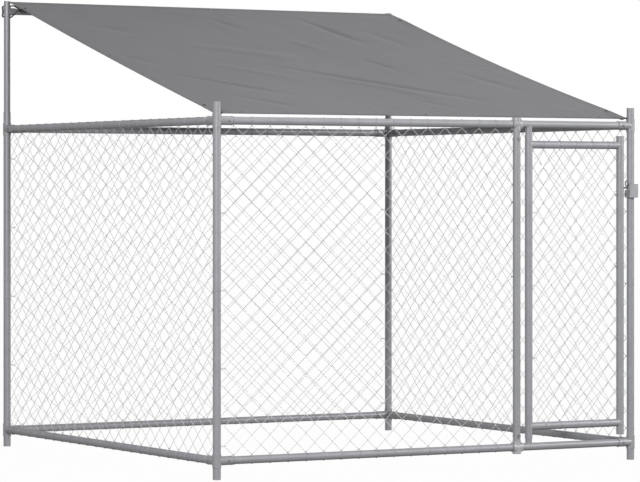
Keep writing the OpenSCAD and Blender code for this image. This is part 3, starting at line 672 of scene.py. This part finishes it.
def tie_path(reach, slant):
    """A soft wire round a tube along X that holds a bend of the net above it at a distance.

    Its two ends leave the tube, close on the net's wires and are twisted together.
    """
    gap = 0.15 * MM
    r = TUBE_R + WRAP_WIRE_R + gap
    opening = 0.07
    path = []
    steps = 26
    for i in range(steps + 1):
        angle = TAU * (opening + (1 - 2 * opening) * i / steps)
        path.append(Vector((
            (i / steps - 0.5) * slant, r * math.sin(angle), r * math.cos(angle)
        )))
    hook = reach + 1.6 * MM
    start = path[0]
    end = path[-1]
    close = WIRE_R + WRAP_WIRE_R
    lead = [Vector((-0.5 * MM, close, hook)), start.lerp(Vector((-1.5 * MM, close, hook)), 0.55)]
    tail = [end.lerp(Vector((1.5 * MM, -close, hook)), 0.55), Vector((0.5 * MM, -close, hook))]
    twist = []
    twist_steps = 8
    twist_r = 1.2 * MM
    twist_length = 3.6 * MM
    for i in range(twist_steps + 1):
        angle = TAU * (0.6 + 1.1 * i / twist_steps)
        twist.append(Vector((
            twist_r * math.cos(angle) + 0.6 * MM, twist_r * math.sin(angle) - 1.4 * MM,
            hook + 0.8 * MM + twist_length * i / twist_steps,
        )))
    return lead + path + tail + twist


def tie_template(reach, slant, name):
    path = tie_path(reach, slant)
    sides = 6
    points, faces = sweep(path, [WRAP_WIRE_R] * len(path), sides)
    return template(points, faces, name)


RAIL_TIE = tie_template(NET_EDGE, 9 * MM, "rail_tie_template")
WIDE_TIE = tie_template(WIDE_EDGE, 4 * MM, "wide_tie_template")
TIGHT_TIE = tie_template(TIGHT_EDGE, 4 * MM, "tight_tie_template")


def panel_ties(panel):
    """Wires that bind a panel: at the points that meet a rail, and at some bends beside a post."""
    rng = random.Random(int(panel.seed) + 3)
    clear = 75 * MM
    rail_wobble = 0.06
    post_wobble = 0.02
    on_rails = []
    on_left = []
    on_right = []

    def bind(places, x, z, lean, wobble):
        spin = lean + rng.uniform(-wobble, wobble)
        turn = Matrix.Rotation(panel.turn, 3, "Z") @ Matrix.Rotation(spin, 3, "Y")
        places.append((panel.place @ Vector((x, 0, z)), turn.to_euler()))

    for bend in range(1, panel.pickets + 1, 2):
        x = WIDE_EDGE + bend * panel.half
        if clear < x < panel.width - clear or panel.body == "gate":
            bind(on_rails, x, 0, 0, rail_wobble)
            bind(on_rails, x, panel.height, TAU / 2, rail_wobble)
    half_way = panel.rows // 2
    for row in range(half_way % TIE_ROWS, panel.rows, TIE_ROWS):
        bind(on_left, 0, NET_EDGE + row * panel.row, TAU / 4, post_wobble)
    for row in range((half_way + panel.pickets) % TIE_ROWS, panel.rows, TIE_ROWS):
        bind(on_right, panel.width, NET_EDGE + row * panel.row, -TAU / 4, post_wobble)
    right_tie = TIGHT_TIE if panel.right_edge == TIGHT_EDGE else WIDE_TIE
    kinds = (("rail", RAIL_TIE, on_rails), ("left", WIDE_TIE, on_left), ("right", right_tie, on_right))
    for word, tie, places in kinds:
        piece = set_out(panel.name.replace("net", word + "_ties"), tie, places, TIE_ZINC)
        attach(piece, panel.body)
        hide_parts(panel.name + "_ties")


for panel in PANELS:
    panel.net()
    panel_ties(panel)


# Screws

def hexagon_screw():
    """A self-drilling screw with a flanged hexagon head; its head looks along -Y."""
    flange_r = 4.8 * MM
    head_r = 3.9 * MM
    flats_r = head_r * 0.92
    sides = 24
    flange = [
        (0.0, 2.0 * MM), (-0.05 * MM, flange_r), (-0.7 * MM, flange_r), (-1.1 * MM, head_r * 0.98),
    ]
    body = bmesh.new()
    rings = []
    for y, r in flange:
        rings.append([
            body.verts.new((r * math.cos(TAU * k / sides), y, r * math.sin(TAU * k / sides)))
            for k in range(sides)
        ])
    for y, grow in ((-1.1 * MM, 1.0), (-3.6 * MM, 1.0), (-4.1 * MM, 0.86)):
        hexagon = []
        for k in range(sides):
            angle = TAU * k / sides
            sector = (angle + TAU / 12) % (TAU / 6) - TAU / 12
            r = flats_r / math.cos(sector) * grow
            hexagon.append(body.verts.new((r * math.cos(angle), y, r * math.sin(angle))))
        rings.append(hexagon)
    for a, b in zip(rings, rings[1:]):
        for k in range(sides):
            body.faces.new((a[k], a[(k + 1) % sides], b[(k + 1) % sides], b[k]))
    body.faces.new(rings[-1])
    body.faces.new(list(reversed(rings[0])))
    bmesh.ops.recalc_face_normals(body, faces=body.faces)
    mesh = bpy.data.meshes.new("screw_template")
    body.to_mesh(mesh)
    body.free()
    return bpy.data.objects.new("screw_template", mesh)


SCREW = hexagon_screw()
SOCKET_REACH = 68 * MM
SLEEVE_R = size("corner_fitting_front_left_top").x - SOCKET_REACH
SCREW_AT = 47 * MM
CORNERS = [(-1, -1, 0), (1, -1, 1), (1, 1, 2), (-1, 1, 3)]


def fitting_screws():
    """Two screws in each corner fitting, one through each socket."""
    places = []
    rng = random.Random(4)
    for sx, sy, corner in CORNERS:
        turn = Matrix.Rotation(corner * TAU / 4, 3, "Z")
        axis = Vector((sx * HALF_W, sy * HALF_D, 0))
        for z in (RAIL_LOW, RAIL_HIGH):
            for offset, side in (((SCREW_AT, -SLEEVE_R), 0), ((-SLEEVE_R, SCREW_AT), -TAU / 4)):
                spin = Matrix.Rotation(rng.uniform(0, TAU), 3, "Y")
                facing = turn @ Matrix.Rotation(side, 3, "Z") @ spin
                spot = axis + turn @ Vector((*offset, 0)) + Vector((0, 0, z))
                places.append((spot, facing.to_euler()))
    piece = set_out("fitting_screw_heads", SCREW, places, SCREW_ZINC)
    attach(piece, "run_frame")
    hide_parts("fitting_screws")


fitting_screws()
dress("roof_frame_screws", SCREW_ZINC)


# The roof sheet

SHEET_W = size("roof_tarp").x
ROOF_TUBE_R = 14.3 * MM
ROOF_TOP = 2000 * MM
FRONT_Y = -HALF_D + 20 * MM
BACK_Y = HALF_D - ROOF_TUBE_R - 2.5 * MM
FRONT_Z = RAIL_HIGH + TUBE_R + 13.5 * MM
BACK_Z = ROOF_TOP - 5 * MM
SLOPE = math.atan2(BACK_Z - FRONT_Z, BACK_Y - FRONT_Y)
SHEET_L = math.hypot(BACK_Z - FRONT_Z, BACK_Y - FRONT_Y)
EYELET_IN = 22 * MM
EYELET_CORNER = 134 * MM
SAG = 12 * MM
FOLD = 4 * MM
FOLD_WAVES = math.radians(540)
# Small rays of cloth round each eyelet: their height and number, and where they rise and fade
RAY_HEIGHT = 1.3 * MM
RAYS = 9
RAY_RISE = 0.05
RAY_FADE = 0.16

ON_SLOPE = Matrix.Translation((0, FRONT_Y, FRONT_Z)) @ Matrix.Rotation(SLOPE, 4, "X")

EYELET_U = SHEET_W / 2 - EYELET_CORNER
EDGE_U = SHEET_W / 2 - EYELET_IN
EYELETS = [(u, v) for u in (-EYELET_U, 0, EYELET_U) for v in (EYELET_IN, SHEET_L - EYELET_IN)]
EYELETS += [
    (u, v) for u in (-EDGE_U, EDGE_U) for v in (EYELET_CORNER, SHEET_L / 2, SHEET_L - EYELET_CORNER)
]

# Half width of the square cuts in the sheet, which the eyelets cover
CUT = 6.8 * MM
# Sag of the free side edges between their ties, left and right
EDGE_SAG = {-1: 6 * MM, 1: 15 * MM}
# Soft creases: start and end along the width and up the slope, half width, height in millimetres
CREASES = [
    ((-0.90, 0.72), (-0.40, 0.30), 0.020, -5.0),
    ((-0.34, 0.97), (0.55, 0.20), 0.026, -6.0),
    ((-0.10, 0.72), (0.34, 0.26), 0.045, 4.0),
    ((0.38, 1.92), (0.50, 1.32), 0.024, -7.0),
    ((0.28, 1.12), (0.38, 0.82), 0.018, -4.0),
    ((-0.80, 0.35), (-0.50, 0.07), 0.022, -3.5),
    ((-0.99, 1.10), (-0.78, 0.82), 0.022, -4.0),
    ((-0.82, 1.62), (-0.58, 1.44), 0.040, -4.0),
    ((-0.10, 1.84), (-0.01, 1.58), 0.020, -4.0),
    ((0.08, 0.37), (0.24, 0.10), 0.020, -3.0),
    ((0.62, 0.95), (0.80, 0.42), 0.030, -3.5),
    ((-0.55, 1.30), (0.05, 1.02), 0.050, 3.5),
    ((0.10, 1.50), (0.20, 1.16), 0.035, 3.0),
    ((-0.60, 0.95), (-0.20, 0.60), 0.040, 3.0),
    ((0.60, 1.75), (0.72, 1.25), 0.035, -3.0),
]


def crown(s):
    """1 in the middle, falling to 0 at -1 and 1."""
    return max(0.0, 1 - s * s)


def crease(u, v, start, end, width, height):
    """Height of one soft crease, slightly curved, that fades out at both ends and widens on its way."""
    curve = 0.12
    along_u = end[0] - start[0]
    along_v = end[1] - start[1]
    length = math.hypot(along_u, along_v)
    share = ((u - start[0]) * along_u + (v - start[1]) * along_v) / length ** 2
    if not 0 < share < 1:
        return 0.0
    aside = ((u - start[0]) * along_v - (v - start[1]) * along_u) / length
    aside += curve * length * (share - share ** 2)
    spread = width * (0.7 + 0.6 * share)
    return height * MM * math.sin(math.pi * share) ** 1.5 * math.exp(-(aside / spread) ** 2)


def sheet_height(u, v):
    """Height of the sheet over its flat hem: a shallow sag, slack side edges, folds and creases."""
    field_w = SHEET_W / 2 - 2 * EYELET_IN
    field_l = SHEET_L / 2 - 2 * EYELET_IN
    s = max(-1.0, min(1.0, u / field_w))
    t = max(-1.0, min(1.0, (v - SHEET_L / 2) / field_l))
    edge = crown(s) * crown(t)
    height = -SAG * edge + FOLD * math.sin(FOLD_WAVES * (s - t)) * edge * s * t
    bow = crown((v - SHEET_L / 2) / (SHEET_L / 2 - EYELET_CORNER))
    side = 1 if u > 0 else -1
    height -= EDGE_SAG[side] * bow * abs(2 * u / SHEET_W) ** 3
    pull = 0.0
    for eu, ev in EYELETS:
        du = u - eu
        dv = v - ev
        reach = math.hypot(du, dv)
        if abs(eu) < EDGE_U - MM:
            inward = math.atan2(dv * (1 if ev < SHEET_L / 2 else -1), du)
        else:
            inward = math.atan2(du * (-1 if eu > 0 else 1), dv)
        pull += math.exp(-reach / RAY_FADE) * math.cos(RAYS * inward) * min(1.0, reach / RAY_RISE)
    soft = min(1.0, 6 * edge)
    return height + soft * (RAY_HEIGHT * pull + sum(crease(u, v, *row) for row in CREASES))


def stops(low, high, step, holes):
    """Grid lines about a step apart, with one on each side of every hole."""
    fixed = sorted({low, high, *[spot + way * CUT for spot in holes for way in (-1, 1)]})
    lines = []
    for a, b in zip(fixed, fixed[1:]):
        count = max(1, round((b - a) / step))
        lines += [a + (b - a) * i / count for i in range(count)]
    return lines + [high]


def punched(u, v):
    """Whether a point of the sheet lies in the cut for an eyelet."""
    return any(abs(u - eu) < CUT and abs(v - ev) < CUT for eu, ev in EYELETS)


HOLES_U = sorted({u for u, v in EYELETS})
HOLES_V = sorted({v for u, v in EYELETS})


def cloth_piece(name, across, along, layers, keep, material):
    """Layers of cloth on one grid; each is (lift over the sheet, faces up), and keep picks cells."""
    points = []
    faces = []
    for lift, up in layers:
        seen = {}

        def corner(i, j):
            if (i, j) not in seen:
                seen[i, j] = len(points)
                u, v = across[i], along[j]
                points.append(Vector((u, v, sheet_height(u, v) + lift(u, v))))
            return seen[i, j]

        for i, (u0, u1) in enumerate(zip(across, across[1:])):
            for j, (v0, v1) in enumerate(zip(along, along[1:])):
                u, v = (u0 + u1) / 2, (v0 + v1) / 2
                if keep(u, v) and not punched(u, v):
                    quad = (corner(i, j), corner(i + 1, j), corner(i + 1, j + 1), corner(i, j + 1))
                    faces.append(quad if up else tuple(reversed(quad)))
    piece = mesh_piece(name, points, faces, material)
    layer = piece.data.uv_layers.new(name="cloth")
    for loop in piece.data.loops:
        layer.data[loop.index].uv = points[loop.vertex_index][:2]
    return piece


def add_thickness(piece, thickness):
    """Thickness to both sides of a surface."""
    shell = piece.modifiers.new("thickness", "SOLIDIFY")
    shell.thickness = thickness
    shell.offset = 0.0


SHEET_T = 0.6 * MM
GRID_STEP = 13 * MM
LINES_U = stops(-SHEET_W / 2, SHEET_W / 2, GRID_STEP, HOLES_U)
LINES_V = stops(0.0, SHEET_L, GRID_STEP, HOLES_V)
tarp = cloth_piece(
    "roof_sheet", LINES_U, LINES_V, [(lambda u, v: 0.0, True)], lambda u, v: True, TARPAULIN,
)
add_thickness(tarp, SHEET_T)
tarp.data.transform(ON_SLOPE)
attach(tarp, "run_frame")
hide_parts("roof_tarp")


# Section of the hem, which is welded round a cord: distance from the sheet's edge and rise
HEM_SECTION = [(0.0, 0.0), (0.4, 0.9), (2.0, 1.3), (4.0, 0.9), (6.0, 0.3), (38.0, 0.25), (38.6, 0.0)]


def edge_distance(u, v):
    return min(SHEET_W / 2 - abs(u), v, SHEET_L - v)


def hem_rise(u, v):
    """How far the hem's outside stands off the sheet."""
    inward = edge_distance(u, v) / MM
    for (x0, z0), (x1, z1) in zip(HEM_SECTION, HEM_SECTION[1:]):
        if inward <= x1:
            return (z0 + (z1 - z0) * max(0.0, inward - x0) / (x1 - x0)) * MM
    return 0.0


def hem_piece():
    """The welded hem: a second layer under and over the edge, round all four sides."""
    width = HEM_SECTION[-1][0] * MM
    steps = [x * MM for x, z in HEM_SECTION]
    across = sorted({*LINES_U, *[way * (SHEET_W / 2 - x) for x in steps for way in (-1, 1)]})
    along = sorted({*LINES_V, *steps, *[SHEET_L - x for x in steps]})
    piece = cloth_piece(
        "roof_hem", across, along,
        [
            (lambda u, v: SHEET_T / 2 + hem_rise(u, v), True),
            (lambda u, v: -SHEET_T / 2 - hem_rise(u, v), False),
        ],
        lambda u, v: edge_distance(u, v) < width, HEM,
    )
    piece.data.transform(ON_SLOPE)
    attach(piece, "run_frame")
    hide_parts("roof_tarp")
    return piece


hem = hem_piece()


def lathe(profile, sides, name):
    """A closed ring turned about Z from a closed half section of (radius, height)."""
    points = []
    for k in range(sides):
        angle = TAU * k / sides
        for r, z in profile:
            points.append((r * math.cos(angle), r * math.sin(angle), z))
    n = len(profile)
    faces = []
    for k in range(sides):
        for i in range(n):
            a = k * n + i
            b = ((k + 1) % sides) * n + i
            c = ((k + 1) % sides) * n + (i + 1) % n
            d = k * n + (i + 1) % n
            faces.append((a, b, c, d))
    return template(points, faces, name)


def eyelets():
    """A moulded ring at every eyelet, standing out on both faces of the sheet."""
    bore = 6.5 * MM
    outer = 14 * MM
    face = 1.5 * MM
    sides = 36
    profile = [
        (bore, -face), (bore + 0.8 * MM, -face - 0.9 * MM), (outer - 2.5 * MM, -face - 0.5 * MM),
        (outer - 0.4 * MM, -face + 0.2 * MM), (outer, -0.7 * MM), (outer, 0.7 * MM),
        (outer - 0.4 * MM, face - 0.2 * MM), (outer - 2.5 * MM, face + 0.5 * MM),
        (bore + 0.8 * MM, face + 0.9 * MM), (bore, face),
    ]
    eyelet = lathe(profile, sides, "eyelet_template")
    places = []
    for u, v in EYELETS:
        places.append((ON_SLOPE @ Vector((u, v, sheet_height(u, v))), (SLOPE, 0, 0)))
    piece = set_out("roof_eyelet_rings", eyelet, places, EYELET)
    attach(piece, "run_frame")
    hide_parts("roof_eyelets")
    return piece


eyelet_rings = eyelets()


# Elastic cords, close to the routes of the CAD solids
# Each station on a route is x, y, z and the cord's radius there, all in millimetres

CORD_R = 3.2
THIN_CORD_R = CORD_R - 0.4
KNOT_R = 5.0
TAIL_KNOT_R = KNOT_R * 0.9
STOP_KNOT_R = 6.7
FITTING_HALF_H = 28
TIE_HOLE_Z = RAIL_HIGH / MM + FITTING_HALF_H + CORD_R + 0.8
SHEET_HALF = SHEET_W / 2 / MM
SHEET_LENGTH = SHEET_L / MM


def edge_station(side, out, v, w, r):
    """A station beside the sheet: beyond its side edge, up the slope, and over its plane."""
    spot = ON_SLOPE @ Vector((side * (SHEET_HALF + out) * MM, v * MM, w * MM)) / MM
    return (spot.x, spot.y, spot.z, r)


def stop_knot(side, v):
    """From the knot on an eyelet's upper face, down through the eyelet."""
    rows = [
        (5.0, 1), (4.7, STOP_KNOT_R * 0.6), (3.8, STOP_KNOT_R * 0.95), (2.8, STOP_KNOT_R),
        (1.5, STOP_KNOT_R - 1.0), (-1.5, CORD_R), (-5, CORD_R),
    ]
    return [edge_station(side, -22, v, w, r) for w, r in rows]


def offset_stations(side, corner, rows):
    """Stations given from a corner, with x counted outwards."""
    x, y, z = corner
    return [(x + side * dx, y + dy, z + dz, r) for dx, dy, dz, r in rows]


def front_cord(side):
    """From the eyelet down under the sheet to a knot in the corner post."""
    v = EYELET_CORNER / MM
    corner = (side * HALF_W / MM, -HALF_D / MM, TIE_HOLE_Z)
    return stop_knot(side, v) + [
        edge_station(side, -20, v - 7, -7.5, CORD_R),
        edge_station(side, -21, v - 34, -5.5, CORD_R),
        edge_station(side, -24, v - 94, -4.5, CORD_R),
        edge_station(side, -27, 12, -4.5, THIN_CORD_R),
    ] + offset_stations(side, corner, [
        (-27, 16, -4, THIN_CORD_R), (-26, 5, -1, THIN_CORD_R), (-22.5, 0.5, 0, THIN_CORD_R),
        (-15, 0, 0, CORD_R), (-9, 0, 0, KNOT_R), (-6, 0, 0, KNOT_R), (-2.5, 0, 0, 1),
    ])


def back_cord(side):
    """From the eyelet over the ridge connector, down behind the roof tube and back under it."""
    v = SHEET_LENGTH - EYELET_CORNER / MM
    gap = 0.3
    connector_wall = 1.7
    connector_half_h = 22
    sleeve = ROOF_TUBE_R / MM + gap + connector_wall
    clear = sleeve + CORD_R + gap
    top = connector_half_h + CORD_R + gap
    corner = (side * HALF_W / MM, HALF_D / MM, RIDGE_Z / MM)
    start = stop_knot(side, v) + [edge_station(side, -21, v + 8, -9.5, CORD_R)]
    return start + offset_stations(side, corner, [
        (-24, -100, 3, CORD_R), (-24, -60, 14, CORD_R), (-24, -20, top - 1, CORD_R),
        (-22, 8, top, CORD_R), (-12, clear, top, CORD_R), (6, clear, top - 1, CORD_R),
        (clear - 2, 12, top - 6, CORD_R), (clear, 4, 8, CORD_R), (clear, 4, -8, CORD_R),
        (clear - 2, 12, 6 - top, CORD_R), (6, clear, 1 - top, CORD_R), (-12, clear, -top, CORD_R),
        (-22, 8, -top, CORD_R), (-27, -16, -13, CORD_R), (-26, -40, -3, CORD_R),
        (-24.5, -64, 1, CORD_R), (-24, -72, 2, TAIL_KNOT_R), (-24, -76, 3, TAIL_KNOT_R),
        (-24, -80, 4, 1),
    ])


def elastic(name, stations, node):
    """A cord along stations, with its length and turn as a UV map for the braid."""
    least_r = 0.8
    sides = 14
    steps = 8
    line = smooth_path(stations, steps)
    path = [Vector(spot[:3]) * MM for spot in line]
    radii = [max(least_r, spot[3]) * MM for spot in line]
    points, faces = sweep(path, radii, sides)
    piece = mesh_piece(name, points, faces, ELASTIC)
    run = [0.0]
    for a, b in zip(path, path[1:]):
        run.append(run[-1] + (b - a).length)
    layer = piece.data.uv_layers.new(name="cord")
    for polygon in piece.data.polygons:
        around = [piece.data.loops[i].vertex_index % sides for i in polygon.loop_indices]
        wrapped = max(around) - min(around) > 1 and len(around) == 4
        for i in polygon.loop_indices:
            vertex = piece.data.loops[i].vertex_index
            k = vertex % sides
            turn = (k + sides if wrapped and k == 0 else k) / sides
            layer.data[i].uv = (turn, run[vertex // sides])
    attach(piece, "run_frame")
    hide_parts(node)


for side, word in ((-1, "left"), (1, "right")):
    elastic("front_cord_" + word, front_cord(side), "roof_tie_front_" + word)
    elastic("back_cord_" + word, back_cord(side), "roof_tie_back_" + word)


# Weld beads

def saddle(centre, out, bend_r, rail_r, axis):
    """The line where a tube of radius rail_r meets one of radius bend_r; axis is the big tube's."""
    path = []
    steps = 72
    for i in range(steps + 1):
        angle = TAU * i / steps
        a = rail_r * math.cos(angle)
        b = rail_r * math.sin(angle)
        reach = math.sqrt(max(0.0, bend_r ** 2 - b ** 2))
        if axis == "z":
            path.append(centre + Vector((out * reach, b, a)))
        else:
            path.append(centre + Vector((a, b, out * reach)))
    return path


def circle(centre, axis, r):
    """A closed circle of points about an axis, which is x or y."""
    path = []
    steps = 48
    for i in range(steps + 1):
        a = r * math.cos(TAU * i / steps)
        b = r * math.sin(TAU * i / steps)
        path.append(centre + (Vector((0, a, b)) if axis == "x" else Vector((a, 0, b))))
    return path


def beads(name, paths, body, radius, material, ripple):
    """Round beads along closed paths, as thick as the radius and rippled by a share of it."""
    points = []
    faces = []
    sides = 8
    rng = random.Random(11)
    for path in paths:
        radii = [
            radius * (1 + ripple * (math.sin(i * 1.9) + rng.uniform(-0.5, 0.5)))
            for i in range(len(path))
        ]
        more, quads = sweep(path, radii, sides, len(points))
        points += more
        faces += quads
    piece = mesh_piece(name, points, faces, material)
    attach(piece, body)


WELD_R = 1.5 * MM
RIPPLE = 0.22
beads("gate_welds", [
    saddle(Vector((x, -HALF_D, z)), out, TUBE_R, TUBE_R, "z")
    for z in (GATE_LOW, GATE_HIGH) for x, out in ((HINGE_X, 1), (LATCH_X, -1))
], "gate", WELD_R, WELD, RIPPLE)
PIN_R = size("hinge_pin_top").x / 2
beads("pin_welds", [
    saddle(Vector((HINGE_X, -HALF_D, z)), out, TUBE_R, PIN_R, "x")
    for z, out in ((RAIL_LOW, 1), (RAIL_HIGH, -1))
], "run_frame", WELD_R, WELD, RIPPLE)

# Each socket of a corner fitting ends in a small rolled lip
LIP_R = 1.2 * MM
MOUTH = SOCKET_REACH - LIP_R
lips = []
for sx, sy, corner in CORNERS:
    for z in (RAIL_LOW, RAIL_HIGH):
        axis = Vector((sx * HALF_W, sy * HALF_D, z))
        lips.append(circle(axis - Vector((sx * MOUTH, 0, 0)), "x", SLEEVE_R))
        lips.append(circle(axis - Vector((0, sy * MOUTH, 0)), "y", SLEEVE_R))
beads("socket_lips", lips, "run_frame", LIP_R, FITTING_ZINC, 0.0)


# Floor, light and camera

WHITE = (1, 1, 1, 1)


def looking_rays(g):
    """1 for rays from the camera, reflected rays and rays through glass; 0 for the others."""
    rays = g.add("ShaderNodeLightPath")
    mirrored = rays.out("Is Camera Ray").most(rays.out("Is Glossy Ray"))
    return mirrored.most(rays.out("Is Transmission Ray"))


def floor():
    """A wide floor that looks white but throws little light back on the object."""
    half = 60
    white_share = 0.985
    floor_grey = (0.07, 0.07, 0.07, 1)
    piece = mesh_piece(
        "studio_floor", [(-half, -half, 0), (half, -half, 0), (half, half, 0), (-half, half, 0)],
        [(0, 1, 2, 3)], bpy.data.materials.new("pale_floor"), False,
    )
    material = piece.data.materials[0]
    material.use_nodes = True
    g = Graph(material.node_tree)
    g.tree.nodes.clear()
    white_ray = looking_rays(g)
    plain = g.add("ShaderNodeBsdfDiffuse", None, {"Color": floor_grey}, "BSDF")
    white = g.add("ShaderNodeEmission", None, {"Color": WHITE, "Strength": 1.0}, "Emission")
    mixed = g.add("ShaderNodeMixShader", None, {0: white_ray * white_share, 1: plain, 2: white})
    sink = g.tree.nodes.new("ShaderNodeOutputMaterial")
    g.plug(sink.inputs["Surface"], mixed)


floor()


def world():
    """White where it is looked at, and a low even light on the object."""
    seen_strength = 1.0
    lighting_strength = 0.15
    made = bpy.data.worlds.new("studio")
    bpy.context.scene.world = made
    made.use_nodes = True
    g = Graph(made.node_tree)
    g.tree.nodes.clear()
    white_ray = looking_rays(g)
    soft, seen = [
        g.add("ShaderNodeBackground", None, {"Color": WHITE, "Strength": strength}, "Background")
        for strength in (lighting_strength, seen_strength)
    ]
    mixed = g.add("ShaderNodeMixShader", None, {0: white_ray, 1: soft, 2: seen})
    sink = g.tree.nodes.new("ShaderNodeOutputWorld")
    g.plug(sink.inputs["Surface"], mixed)


world()


def area_light(name, place, aim, width, height, power):
    lamp = bpy.data.lights.new(name, "AREA")
    lamp.shape = "RECTANGLE"
    lamp.size = width
    lamp.size_y = height
    lamp.energy = power
    holder = bpy.data.objects.new(name, lamp)
    holder.location = place
    holder.rotation_mode = "QUATERNION"
    holder.rotation_quaternion = (Vector(aim) - Vector(place)).to_track_quat("-Z", "Y")
    bpy.context.scene.collection.objects.link(holder)


# Each lamp: name, place, what it is turned to, width and height in metres, power in watts
AIM = (0, 0, 0.9)
area_light("key_left", (-6.6, -7.4, 4.6), AIM, 1.2, 2.4, 620)
area_light("key_right", (7.2, -5.6, 4.0), AIM, 1.6, 3.0, 420)
area_light("top", (0, -1, 7.5), AIM, 5.0, 5.0, 90)
area_light("rim", (5.5, 6.5, 4.5), AIM, 4.0, 4.0, 40)


def camera():
    """The camera for the photograph's view."""
    data = bpy.data.cameras.new("camera")
    data.sensor_width = 36
    data.lens = 184.3
    data.shift_y = -0.0737
    data.clip_end = 200
    holder = bpy.data.objects.new("camera", data)
    holder.location = (-7.119, -12.463, 1.134)
    holder.rotation_mode = "QUATERNION"
    heading = Vector((0.4985, 0.867, 0))
    holder.rotation_quaternion = heading.to_track_quat("-Z", "Y")
    bpy.context.scene.collection.objects.link(holder)
    bpy.context.scene.camera = holder


camera()

scene = bpy.context.scene
scene.view_settings.view_transform = "Standard"
